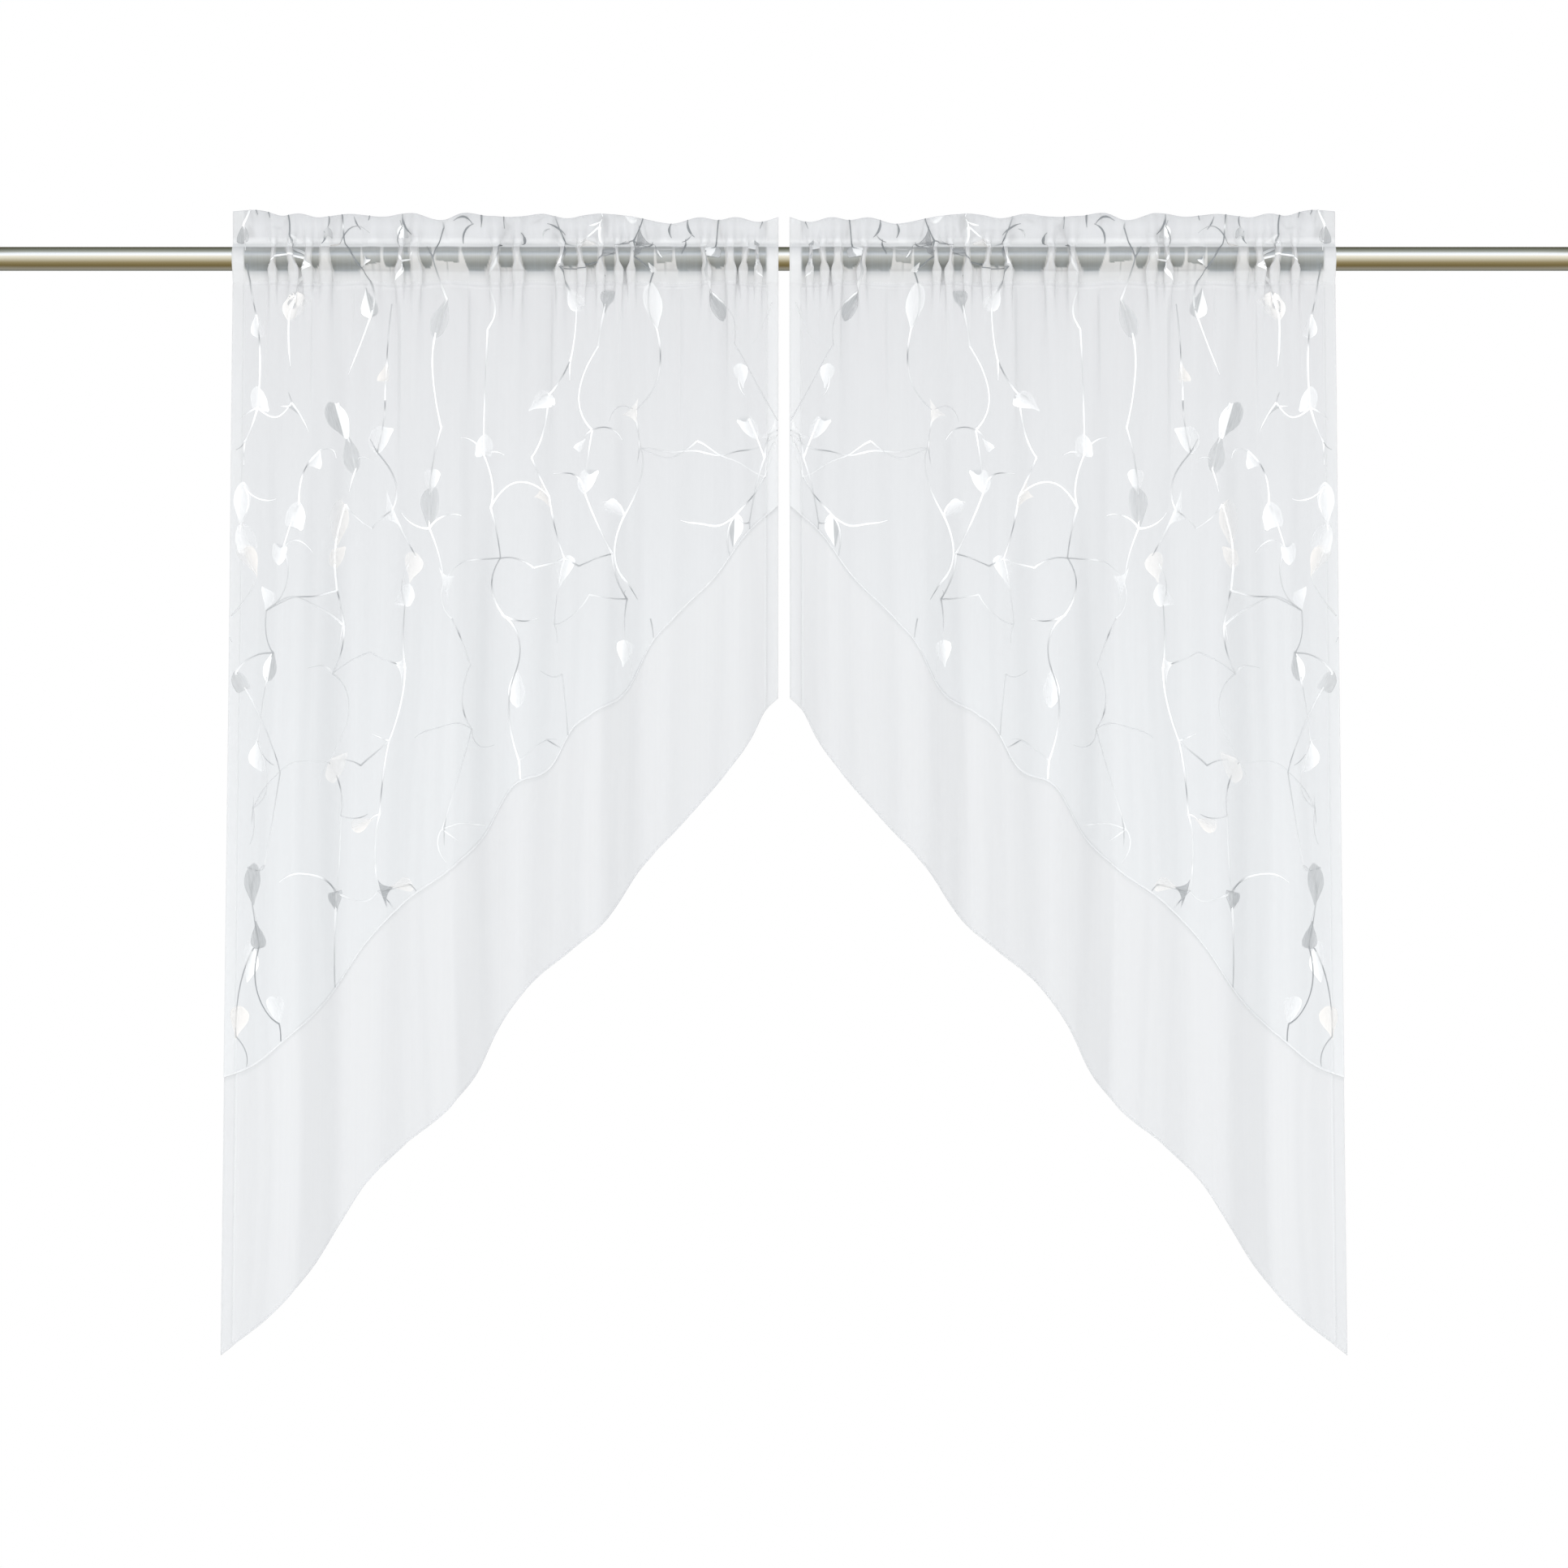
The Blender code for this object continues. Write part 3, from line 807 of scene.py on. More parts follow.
# Voile: fine crossed threads, faint streaks down the cloth, and what is behind shows through.
def voile(name, look):
    material, tree = newMaterial(name)
    across, down = clothPlaces(tree)
    fullness, bunch, pressed = (attribute(tree, n) for n in ("fullness", "bunch", "pressed"))
    turn = 2 * math.pi / look["threadPitch"]
    warp, weft = (across * turn).sine(), (down * turn).sine()
    weave = warp * warp + weft * weft
    (streakX, streakY), (cloudX, cloudY) = look["streakScale"], look["cloudScale"]
    streaks = noise(tree, combine(tree, across * streakX, down * streakY), detail=3.0, roughness=0.6)
    clouds = noise(tree, combine(tree, across * cloudX, down * cloudY))
    brushed = pressed * look["pressedStreaks"] + look["streaks"]
    uneven = 1.0 + (streaks - 0.5) * brushed + (clouds - 0.5) * look["clouds"]
    uneven = uneven + (weave - 1.0) * look["weave"]
    layers = fullness * uneven * (1.0 + bunch * look["bunchDensity"])
    cover = (1.0 - look["through"] ** layers).within()
    lower = ((down - look["paleFrom"]) / look["paleOver"]).within()
    plain = colourMix(tree, lower, look["thread"], look["lowThread"])
    # Painted light: a whiter thread colour on loops, the ruffle and folded layers.
    lit = colourMix(tree, bunch.within(), plain, look["paintedLightColour"])
    # Painted shade: a darker thread colour on cloth over the rod and right under the seam.
    colour = colourMix(tree, pressed.within(), lit, look["pressed"])
    height = bump(tree, look["bump"], look["threadPitch"] * look["bumpShare"], weave * 0.5)
    gloss = {
        "Specular IOR Level": look["specular"], "Sheen Weight": look["sheen"],
        "Sheen Roughness": look["sheenRoughness"], "Normal": height,
    }
    threads = solid(tree, colour, look["roughness"], gloss)
    glowShare = (1.0 - pressed) * look["translucence"]
    surfaceOutput(tree, thinCloth(tree, threads, look["thread"], glowShare, cover, look["clear"]))
    return material


# "through" is the share of what is behind that one layer lets through, "paleFrom" and "paleOver" are
# metres down the cloth, and the scales are waves a metre across and down.
voileLook = {
    "streakScale": (210.0, 2.2), "cloudScale": (30.0, 2.5), "paleOver": 0.40,
    "weave": 0.10, "bump": 0.25, "bumpShare": 0.3,  # of the thread pitch
    "sheen": 0.1, "sheenRoughness": 0.5, "specular": 0.25, "translucence": 0.30,
}
# In both looks the darkest thread colour is painted shade and the whitest is painted light.
panelLook = {
    **voileLook,
    "thread": (0.596, 0.598, 0.606), "lowThread": (0.654, 0.667, 0.675), "paleFrom": 0.12,
    "paintedLightColour": (0.965, 0.97, 0.975), "pressed": (0.232, 0.260, 0.278), "pressedStreaks": 0.6,
    "clear": (0.935, 0.945, 0.965), "through": 0.30, "bunchDensity": 0.6,
    "threadPitch": 0.00045, "streaks": 0.14, "clouds": 0.34, "roughness": 0.75,
}
borderLook = {
    **voileLook,
    "thread": (0.656, 0.659, 0.666), "lowThread": (0.617, 0.620, 0.629), "paleFrom": 0.0,
    "paintedLightColour": (0.95, 0.955, 0.96), "pressed": (0.33, 0.355, 0.365), "pressedStreaks": 0.0,
    "clear": (0.95, 0.96, 0.97), "through": 0.20, "bunchDensity": 0.2,
    "threadPitch": 0.00038, "streaks": 0.12, "clouds": 0.14, "roughness": 0.8,
}


# Satin: the raised twigs and pods. Tone runs from white to grey, and the grey is painted shade of the
# sheen turned from the light; warm adds ivory, veil thins it, and half is over 0 on the painted grey half
# of a pod that has one.
def satin(name, look):
    material, tree = newMaterial(name)
    across, along = clothPlaces(tree)
    tone, warm, veil, half = (attribute(tree, n) for n in ("tone", "warm", "veil", "half"))
    hatchX, hatchY = look["hatchScale"]
    hatch = noise(tree, combine(tree, across * hatchX, along * hatchY), detail=3.0, roughness=0.7)
    floats = (across * (2 * math.pi / look["floatPitch"])).sine()
    greyness = tone + (half * look["halfEdge"]).within() * look["halfTone"]
    shade = (greyness + (hatch - 0.5) * look["hatch"] * greyness).within()
    white = colourMix(tree, warm.within(), look["white"], look["ivory"])
    colour = colourMix(tree, shade, white, look["grey"])
    gloss = {
        "Specular IOR Level": look["specular"], "Sheen Weight": look["sheen"],
        "Sheen Roughness": look["sheenRoughness"],
        "Normal": bump(tree, look["bump"], look["bumpDepth"], floats * 0.5 + hatch),
    }
    threads = solid(tree, colour, look["roughness"], gloss)
    cover = (veil * (1.0 + (hatch - 0.5) * look["veilHatch"] * (1.0 - veil))).within()
    cloth = thinCloth(tree, threads, look["glow"], look["translucence"], cover, look["clear"])
    surfaceOutput(tree, cloth)
    return material


# The grey is painted shade of the satin's sheen turned from the light.
satinLook = {
    "white": (0.96, 0.965, 0.97), "ivory": (0.97, 0.93, 0.89), "grey": (0.165, 0.182, 0.197),
    "glow": (0.80, 0.81, 0.82), "clear": (1.0, 1.0, 1.0), "halfTone": 0.55, "halfEdge": 14.0,
    "hatch": 1.1, "veilHatch": 0.35, "hatchScale": (900.0, 60.0),
    "floatPitch": 0.0007, "bump": 0.2, "bumpDepth": 0.00015,
    "roughness": 0.36, "specular": 0.5, "sheen": 0.25, "sheenRoughness": 0.4, "translucence": 0.12,
}


def threadMaterial(look):
    material, tree = newMaterial("sewingThread")
    fuzz = noise(tree, place(tree, "ShaderNodeTexCoord", output=3), look["fuzzScale"])
    colour = colourMix(tree, fuzz, look["dark"], look["light"])
    height = bump(tree, look["bump"], look["bumpDepth"], fuzz)
    gloss = {"Sheen Weight": look["sheen"], "Normal": height}
    surfaceOutput(tree, solid(tree, colour, look["roughness"], gloss))
    return material


threadLook = {
    "dark": (0.70, 0.71, 0.72), "light": (0.82, 0.82, 0.82), "fuzzScale": 2600.0,
    "bump": 0.4, "bumpDepth": 0.0001, "roughness": 0.7, "sheen": 0.2,
}


# Satin metal: faint lengthwise brushing, a little colour drift and fine scuffs.
def rodMaterial(look):
    material, tree = newMaterial("brushedNickelRod")
    spot = place(tree, "ShaderNodeTexCoord", output=3)
    x, y, z = parts(tree, spot)
    along, around = look["brushScale"]
    brush = noise(tree, combine(tree, x * along, y * around, z * around), detail=3.0)
    drift = noise(tree, spot, look["driftScale"])
    colour = colourMix(tree, drift, look["cool"], look["warm"])
    roughness = look["roughness"] + (brush - 0.5) * look["brushing"] + (drift - 0.5) * look["drifting"]
    height = bump(tree, look["bump"], look["bumpDepth"], brush)
    surfaceOutput(tree, solid(tree, colour, roughness, {"Metallic": 1.0, "Normal": height}))
    return material


rodLook = {
    "cool": (0.70, 0.68, 0.63), "warm": (0.74, 0.69, 0.60),
    "roughness": 0.20, "brushing": 0.10, "drifting": 0.05,
    "brushScale": (9.0, 1500.0), "driftScale": 7.0, "bump": 0.06, "bumpDepth": 0.00005,
}


def buildRod():
    radius, half = rod["diameter"] / 2, rod["length"] / 2
    chamfer, sides = rod["endChamfer"], rod["sides"]
    angles = np.linspace(0, 2 * np.pi, sides, endpoint=False)
    sections = [(-half, radius - chamfer), (-half + chamfer, radius)]
    sections += [(x, radius) for x in np.linspace(-half, half, rod["rings"])[1:-1]]
    sections += [(half - chamfer, radius), (half, radius - chamfer)]
    points = [(x, r * math.cos(a), r * math.sin(a)) for x, r in sections for a in angles]
    faces = [f[::-1] for f in tubeFaces(len(sections), sides)]
    piece = meshPiece("curtainRod", points, faces, rodMaterial(rodLook))
    for face in piece.data.polygons[-2:]:
        face.use_smooth = False
    return piece


materials = {
    "panel": voile("patternedVoile", panelLook),
    "border": voile("plainVoile", borderLook),
    "satin": satin("satinTwigs", satinLook),
    "thread": threadMaterial(threadLook),
}

out = columnPlaces()
points, closing, foldRow, pocketRow = panelRows(out)
panelGrid = clothGrid(out, points, closing)
panelGrid["down"] = panelGrid["down"] - panelGrid["down"][foldRow]
panelGrid = whitenEdges(finishHeading(panelGrid), hems["seamTurn"], hems["panelWhiteness"])
seamTurns = [(-0.0002, 1.2), (0.0003, 2.4), (0.0012, 2.4), (hems["seamTurn"], 2.4)]
panelSheet = turnUnder(panelGrid, seamTurns)
print("panel grid:", panelSheet["points"].shape)


borderGridding = {
    "underRows": [0.0, 0.0008, 0.0018, 0.0032, 0.0052, 0.0080],  # rows under the seam
    "rows": 44,
    "crowding": 1.15,  # rows stand a little closer together near the seam
    "columns": 240,
    "shadeBand": (0.0022, 0.0020),  # the seam's painted shadow: its middle under the seam, and its reach
}


def borderRows(out):
    seam, hem = lineHeights(out, seamLine), lineHeights(out, hemLine)
    low = -pocketLine(out)
    behind = hems["borderBehind"]
    start = seam - borderGridding["underRows"][-1]
    heights = [seam + hems["seamLap"]] + [seam - down for down in borderGridding["underRows"]]
    steps = np.linspace(0, 1, borderGridding["rows"])[1:] ** borderGridding["crowding"]
    heights += [start + (hem + edgeRows[0] - start) * t for t in steps]
    rows = []
    for z in heights + [hem + up for up in edgeRows[1:]]:
        x, y = flared(out, z), clothPlane(out, low - z)
        nx, ny = sideways(x, y)
        rows.append(np.column_stack([x - nx * behind, y - ny * behind, z]))
    return np.array(rows)


borderOut = np.linspace(hang["innerEdge"], hang["outerEdge"], borderGridding["columns"])
borderPoints = borderRows(borderOut)
borderGrid = clothGrid(borderOut, borderPoints, np.zeros(borderPoints.shape[:2]))
borderGrid = whitenEdges(borderGrid, hems["rolledWidth"], hems["borderWhiteness"])
shadeMiddle, shadeReach = borderGridding["shadeBand"]
underSeam = borderGrid["down"] - borderGrid["down"][1]
# Painted shadow under the seam, in the border's darker thread colour.
borderGrid["pressed"] = hems["seamShade"] * bell(underSeam - shadeMiddle, shadeReach)
rolled = hems["rolledWidth"]
rollTurns = [(-0.0003, 1.2), (0.0003, 2.4), (rolled - 0.0003, 2.4)]
rollTurns += [(rolled, 1.8), (rolled - 0.0003, 1.2), (0.0006, 1.2)]
borderSheet = turnUnder(borderGrid, rollTurns)
print("border grid:", borderSheet["points"].shape)


# Where a point of the cloth is: its column place and its distance down from the ruffle's fold.
class ClothMap:
    def __init__(self, grid):
        self.grid = grid
        out = grid["out"]
        even = np.arange(out[0], out[-1], 0.002)
        blur = np.hanning(19)[1:-1]  # a smooth window of 17 even steps
        blur /= blur.sum()
        rows = []  # each row's distance down, without the small differences between columns
        for row in grid["down"]:
            wide = np.pad(np.interp(even, out, row), len(blur) // 2, mode="reflect", reflect_type="odd")
            rows.append(np.interp(out, even, np.convolve(wide, blur, "valid")))
        self.table = np.array(rows)

    def at(self, across, down):
        out, table = self.grid["out"], self.table
        position = np.interp(across, out, np.arange(len(out)))
        left = np.clip(position.astype(int), 0, len(out) - 2)
        share = (position - left)[:, None]
        found = []
        for column in (left, left + 1):
            row = np.empty(len(column))
            for c in np.unique(column):
                here = column == c
                row[here] = np.interp(down[here], table[:, c], np.arange(len(table)))
            low = np.clip(row.astype(int), 0, len(table) - 2)
            f = (row - low)[:, None]
            grids = (self.grid["points"], self.grid["normals"])
            found.append([g[low, column] * (1 - f) + g[low + 1, column] * f for g in grids])
        point, normal = (found[0][i] * (1 - share) + found[1][i] * share for i in (0, 1))
        return point, normal / np.linalg.norm(normal, axis=1, keepdims=True)

    def ends(self, across):  # the highest and the lowest place of the cloth there
        out, down = self.grid["out"], self.table
        return np.interp(across, out, down[0]), np.interp(across, out, down[-1])


# The cloth's own design: chains of long twigs run down it, fork and stop, arcs join them to open
# cells, and pods sit on them. It grows from a seed in cloth places: out from the middle of the
# rod, and down from the ruffle's fold.
design = {
    "seed": 6,
    "chains": (0.020, 0.562, 11),  # first and last place, and how many
    "top": -0.060,
    "topSpread": (0.008, 0.012),  # how far a chain's start wanders, sideways and up or down
    "bottom": 1.05,
    "lastNode": 1.0,  # no stubs or pods under this place
    "headingEnd": 0.085,  # the cloth on the rod ends about here
    "twigLength": [  # down to this place, shortest, longest
        (0.035, 0.030, 0.055), (0.11, 0.045, 0.070), (0.16, 0.080, 0.150), (0.46, 0.036, 0.072),
        (2.0, 0.055, 0.115),
    ],
    "swing": 0.26,  # sideways moves, as a share of a twig's length
    "homing": 0.42,  # how strongly a chain comes back under its start
    "straight": (0.65, 0.035),  # share of long twigs that are nearly straight, and how much they bow
    "bow": (0.08, 0.20),  # of the others
    "lead": (0.3, 0.7),  # where along a twig its bow lies
    "missing": 0.16,  # share of long twigs that stop on their way
    "headingMissing": (0.50, 0.06),  # the same above this place
    "broken": (0.35, 0.70),  # how far these run
    "edgeGap": 0.0012,
    "sideGap": 0.0006,
}
arcs = {
    # share of nodes with an arc, by place down the cloth
    "share": ([0, 0.10, 0.20, 0.26, 0.45, 0.60, 1.0], [0.35, 0.15, 0.16, 0.56, 0.56, 0.34, 0.30]),
    "wander": 0.018,  # how freely the other end is chosen
    "rise": 0.055,  # most between both ends, up or down
    "brokenShare": 0.36, "broken": (0.40, 0.75), "brokenBow": (0.14, 0.36),
    "plainShare": 0.5, "bow": (0.08, 0.30),  # the others bend at a corner
    "corner": (0.006, 0.010, 0.022), "cornerBow": 0.06, "cornerNode": 0.30,
}
twigShape = {
    "brightWidth": 0.0020,
    "faintWidth": 0.0011,
    "height": 0.0003,
    "section": [(-0.5, 0.35), (-0.40, 1.0), (0.40, 1.0), (0.5, 0.35), (0.40, -0.7), (-0.40, -0.7)],
    "step": 0.0022,
    "fewest": 7,  # steps, and twice as many above this place, where the cloth bends round the rod
    "denseAbove": 0.09,
    "shortest": 0.004,
    "taper": (0.016, 0.22),  # how long a free end's taper is, and the width left
    "knot": (0.30, 0.004),  # wider by this share at its ends, over this length
    "uneven": (0.07, 0.009),  # its width waves by this share, over this length
    "fading": 0.5,  # share of twigs that pale on their way: where, how far and by how much
    "fadingLimits": ((0.15, 0.12, 0.35), (0.85, 0.32, 0.85)),
    "turns": 0.34,  # share of twigs whose satin turns over for a few millimetres: where and how far
    "turnLimits": ((0.1, 0.004), (0.9, 0.010)),
    "brightTurns": 0.3,  # share of those turns that show white on a grey twig
    "turned": (0.7, 0.85),  # painted light and shade of a turn
    "greyTone": 0.9,
    "faintTone": 0.36,
    "veil": (0.96, 0.32, 0.56),  # of a bright twig, of a faint one, and added on a dark one
    "sharpOver": 32,  # degrees between faces
}
stubs = {
    "share": 0.32,  # of nodes
    "length": (0.010, 0.026),
    "turn": 0.5,  # how freely it turns, in radians
    "apart": 0.5,  # least between its direction and any other, as unit arrows
    "bow": 0.10,
    "podShare": 0.30,
    "podSize": 0.8,
    "podLap": 0.004,
}
dashes = {
    "count": 26,
    "across": (0.012, 0.570),
    "down": (-0.026, 0.030),
    "length": (0.010, 0.024),
    "turn": 0.75,
    "bow": (0.05, 0.22),
    "thickness": 1.7,
    "dark": 0.72,  # share of them
    "lights": ((0.1, 1.0), (1.0, 0.0)),  # brightness and darkness of a dark and of a white one
    "podShare": 0.30,
    "podSize": (0.009, 0.016),
    "podTone": (0.3, 0.7),
    "podVeil": (0.6, 0.9),
    "podPale": 0.5,
}

# Brightness and darkness of the twigs, by place down the cloth: the darkness is painted shade of the
# satin's sheen.
twigLight = {
    "headingDark": 0.68,  # share of them on the heading
    "headingLights": ((0.25, 1.0), (1.0, 0.0)),  # of a dark and of a white one
    "corner": ((0.40, 0.12), (0.62, 0.20), 0.6),  # towards the outer lower corner: from, over, share
    "cornerLight": (0.15, 0.9),
    "brightShare": ([0.085, 0.12, 0.34, 0.46, 0.58, 1.0], [0.55, 0.80, 0.70, 0.36, 0.24, 0.16]),
    "bright": (0.8, 1.0),
    "faint": (0.0, 0.3),
    "faintDark": ((-0.35, 0.0, 0.30, 0.6), (0.42, 0.26, 0.22, 0.10)),  # darkness and how often
}

# Pods: length, width as a share of it, and the outline as (place along, share of the width).
podShapes = {
    "bulb": (
        (0.023, 0.036), 0.58,
        [(0, 0.07), (0.15, 0.20), (0.45, 0.74), (0.72, 1.0), (0.92, 0.74), (1, 0.20)],
    ),
    "tulip": (
        (0.020, 0.031), 0.72,
        [(0, 0.10), (0.12, 0.48), (0.40, 0.94), (0.75, 1.0), (0.95, 0.94), (1, 0.80)],
    ),
    "leaf": (
        (0.034, 0.050), 0.40,
        [(0, 0.07), (0.2, 0.45), (0.5, 1.0), (0.75, 0.92), (0.93, 0.50), (1, 0.12)],
    ),
    "dart": (
        (0.017, 0.027), 0.62,
        [(0, 0.08), (0.3, 0.40), (0.7, 0.95), (0.9, 1.0), (1, 0.90)],
    ),
}
pods = {
    "gap": 0.018,  # between their middles
    "edgeGap": 0.0004,
    "rings": (0.45, 0.80, 1.0),
    "steps": 13, "middle": 7,  # along a pod, and the one its dome stands on
    "dome": (0.35, 0.9, 0.7),  # height at the rim, added in the middle, and under the cloth
    "lean": (0.72, 1.28),  # one side is wider than the other
    "bend": 0.10,
    "share": 0.32,  # of nodes that carry a pod
    "kinds": ("bulb", "tulip", "leaf", "bulb", "dart"),
    "smallKinds": ("bulb", "dart", "tulip"),
    "hanging": (0.6, 0.9),  # share of them that start past the node, and how far, in lengths
    "lap": 0.002,  # how far the others start before it
    "headingSize": 0.62,
    "webShare": 0.32,  # of forks that are filled
    "twoWays": 0.45,  # share of those that are filled on one side only
    "webReach": (0.012, 0.024),
    "webHollow": 0.46, "webSteps": 8,
    "grey": ([0, 0.085, 0.12, 0.45, 0.60, 1.0], [0.60, 0.40, 0.10, 0.12, 0.28, 0.36]),  # share by place of pods greyed with painted shade
    "warm": ([0.1, 0.4, 0.6], [0.12, 0.15, 0.28]),
    "half": 0.12,
    "pale": (0.40, 0.90),  # how much one side of a pod pales
    "lighter": (0.72, 0.62),  # grey pods are lighter by this between the heading and this place
    # tone, warmth and veil
    "greyLook": ((0.50, 0.85), 0.0, (0.75, 0.95)),
    "warmLook": (0.04, (0.4, 1.0), (0.50, 0.82)),
    "halfLook": (0.0, 0.0, 0.92, 0.1),  # and how much it pales
    "whiteLook": ((0.0, 0.05), 0.0, (0.70, 0.97)),
}


def unit(v):
    return v / max(float(np.hypot(*v)), 1e-9)


def leftOf(v):
    return np.array([-v[1], v[0]])


def wayAt(angle):
    return np.array([math.cos(angle), math.sin(angle)])


def curveThrough(a, hold, b, t):  # from a to b, pulled towards a third place
    return a * (1 - t) ** 2 + hold * 2 * t * (1 - t) + b * t**2


def finish(tone, warm, veil, split=False, pale=0.0):  # of one pod, and how much one side pales
    return {"tone": tone, "warm": warm, "veil": veil, "split": split, "pale": pale}


class Design:
    def __init__(self, cloth):
        self.cloth = cloth
        self.random = np.random.default_rng(design["seed"])
        self.points, self.faces, self.uv, self.pieces = [], [], [], 0
        self.values = {"tone": [], "warm": [], "veil": [], "half": []}
        self.taken = []  # middles of pods

    def add(self, points, faces, uv, **values):
        base = sum(len(p) for p in self.points)
        self.points.append(points)
        self.faces.extend(tuple(int(i) + base for i in f) for f in faces)
        self.uv.append(uv)
        for key in self.values:
            self.values[key].append(np.broadcast_to(values[key], len(points)).astype(float))
        self.pieces += 1

    def inside(self, path, margin):
        across, down = path.T
        high, low = self.cloth.ends(across)
        inner, outer = hang["innerEdge"] + design["sideGap"], hang["outerEdge"] - design["sideGap"]
        return (down < low - margin) & (down > high + margin) & (across > inner) & (across < outer)

    # A flat satin float along a line of cloth places, where it stays on the cloth
    def ribbon(self, path, *values):
        keep = self.inside(path, design["edgeGap"])
        for run in np.split(np.arange(len(path)), np.flatnonzero(np.diff(keep)) + 1):
            if keep[run[0]] and len(run) >= 4:
                self.strip(path[run], *(v[run] for v in values))

    def strip(self, path, width, tone, veil):
        along = np.gradient(path, axis=0)
        along /= np.linalg.norm(along, axis=1, keepdims=True) + 1e-12
        side = np.column_stack([-along[:, 1], along[:, 0]])
        section = twigShape["section"]
        m = len(section)
        ring = []
        for reach, lift in section:
            spot = path + side * width[:, None] * reach
            point, normal = self.cloth.at(spot[:, 0], spot[:, 1])
            ring.append(point + normal * twigShape["height"] * lift)
        points = np.stack(ring, axis=1).reshape(-1, 3)
        run = np.concatenate([[0], np.cumsum(np.linalg.norm(np.diff(path, axis=0), axis=1))])
        offsets = np.outer(width, [reach for reach, _ in section])
        uv = np.column_stack([offsets.ravel(), np.repeat(run, m)])
        tone, veil = np.repeat(tone, m), np.repeat(veil, m)
        self.add(points, tubeFaces(len(path), m), uv, tone=tone, veil=veil, warm=0.0, half=-1.0)

    # One twig between two places. Each end has its (brightness, darkness), and may be free.
    def twig(self, start, end, lights, bow=0.0, lead=0.5, thickness=1.0, free=(False, False)):
        length = float(np.hypot(*(end - start)))
        if length < twigShape["shortest"]:
            return
        count = max(int(length / twigShape["step"]), twigShape["fewest"])
        if min(start[1], end[1]) < twigShape["denseAbove"]:
            count *= 2
        t = np.linspace(0, 1, count)
        middle = start + (end - start) * lead + leftOf(end - start) * bow * 2
        path = curveThrough(start, middle, end, t[:, None])
        (brightA, darkA), (brightB, darkB) = lights
        bright = brightA + (brightB - brightA) * ease(t)
        dark = darkA + (darkB - darkA) * ease(t)
        if self.random.random() < twigShape["fading"]:
            spot, reach, loss = self.random.uniform(*twigShape["fadingLimits"])
            bright = bright * (1 - loss * bell(t - spot, reach))
        roll = self.random.random()
        if roll < twigShape["turns"]:
            spot, reach = self.random.uniform(*twigShape["turnLimits"])
            over = bell((t - spot) * length, reach)
            white, grey = twigShape["turned"]
            if brightA + brightB < 1.0 and roll < twigShape["turns"] * twigShape["brightTurns"]:
                bright, dark = np.maximum(bright, white * over), dark * (1 - over)
            else:
                bright, dark = bright * (1 - over), np.maximum(dark, grey * over)
        width = twigShape["faintWidth"] + (twigShape["brightWidth"] - twigShape["faintWidth"]) * bright
        width = width * thickness
        share, over = twigShape["knot"]
        first, last = (np.exp(-away * length / over) for away in (t, 1 - t))
        width = width * (1 + share * first + share * last)
        share, wave = twigShape["uneven"]
        width = width * (1 + share * np.sin(t * length / wave + bow * 40))
        taper, left = twigShape["taper"]
        for ends, away in zip(free, (t, 1 - t)):
            if ends:
                width = width * (left + (1 - left) * ease(away * length / taper * thickness))
        # Painted shade: darkness greys the satin, standing for its sheen turned from the light.
        tone = dark * twigShape["greyTone"] + (1 - dark) * twigShape["faintTone"] * (1 - bright)
        whole, faint, darker = twigShape["veil"]
        veil = whole * bright + (1 - bright) * (faint + darker * np.abs(dark))
        self.ribbon(path, width, tone, veil)

    # A thin domed patch with the outline given, star-shaped round its centre
    def patch(self, outline, centre, along, tone, warm, veil, split, pale):
        if not self.inside(outline, pods["edgeGap"]).all():
            return
        if any(float(np.hypot(*(centre - spot))) < pods["gap"] for spot in self.taken):
            return
        self.taken.append(centre)
        n = len(outline)
        spots = np.concatenate([[centre]] + [centre + (outline - centre) * r for r in pods["rings"]])
        reach = np.concatenate([[0.0], np.repeat(pods["rings"], n)])
        point, normal = self.cloth.at(spots[:, 0], spots[:, 1])
        rim, dome, under = (share * twigShape["height"] for share in pods["dome"])
        front = point + normal * (rim + dome * (1 - reach**4))[:, None]
        back = (point - normal * under)[:-n]
        total, last = len(spots), 1 + 2 * n
        faces = []
        for k in range(n):
            after = (k + 1) % n
            faces.append((0, 1 + k, 1 + after))
            faces.append((total, total + 1 + after, total + 1 + k))
            for a in (1, 1 + n):
                b = a + n
                faces.append((a + k, b + k, b + after, a + after))
                c = b if b == last else total + b  # both sides share the rim
                faces.append((total + a + k, total + a + after, c + after, c + k))
        local = (spots - centre) @ np.array([leftOf(along), along]).T
        share = local[:, 0] / max(float(np.abs(local[:, 0]).max()), 1e-6)
        veils = veil * (1 - abs(pale) * ease(0.5 + math.copysign(0.7, pale) * share))
        half = share if split else np.full(total, -1.0)
        pick = np.r_[np.arange(total), np.arange(total - n)]
        onward = np.roll(outline, -1, axis=0)
        if float(np.sum(outline[:, 0] * onward[:, 1] - onward[:, 0] * outline[:, 1])) > 0:
            faces = [f[::-1] for f in faces]
        values = {"tone": tone, "warm": warm, "veil": veils[pick], "half": half[pick]}
        self.add(np.vstack([front, back]), faces, local[pick], **values)

    def pod(self, start, along, kind, size, look):
        _, fat, knots = podShapes[kind]
        t = np.linspace(0, 1, pods["steps"])
        width = throughKnots(t, knots) * size * fat / 2
        lean, bend = self.random.uniform(*pods["lean"]), self.random.normal(0, pods["bend"]) * size
        side = leftOf(along)
        axis = start + t[:, None] * size * along + (bend * t**2)[:, None] * side
        left = axis + (width * lean)[:, None] * side
        right = axis - (width * (2 - lean))[:, None] * side
        self.patch(np.concatenate([left, right[::-1]]), axis[pods["middle"]], along, **look)

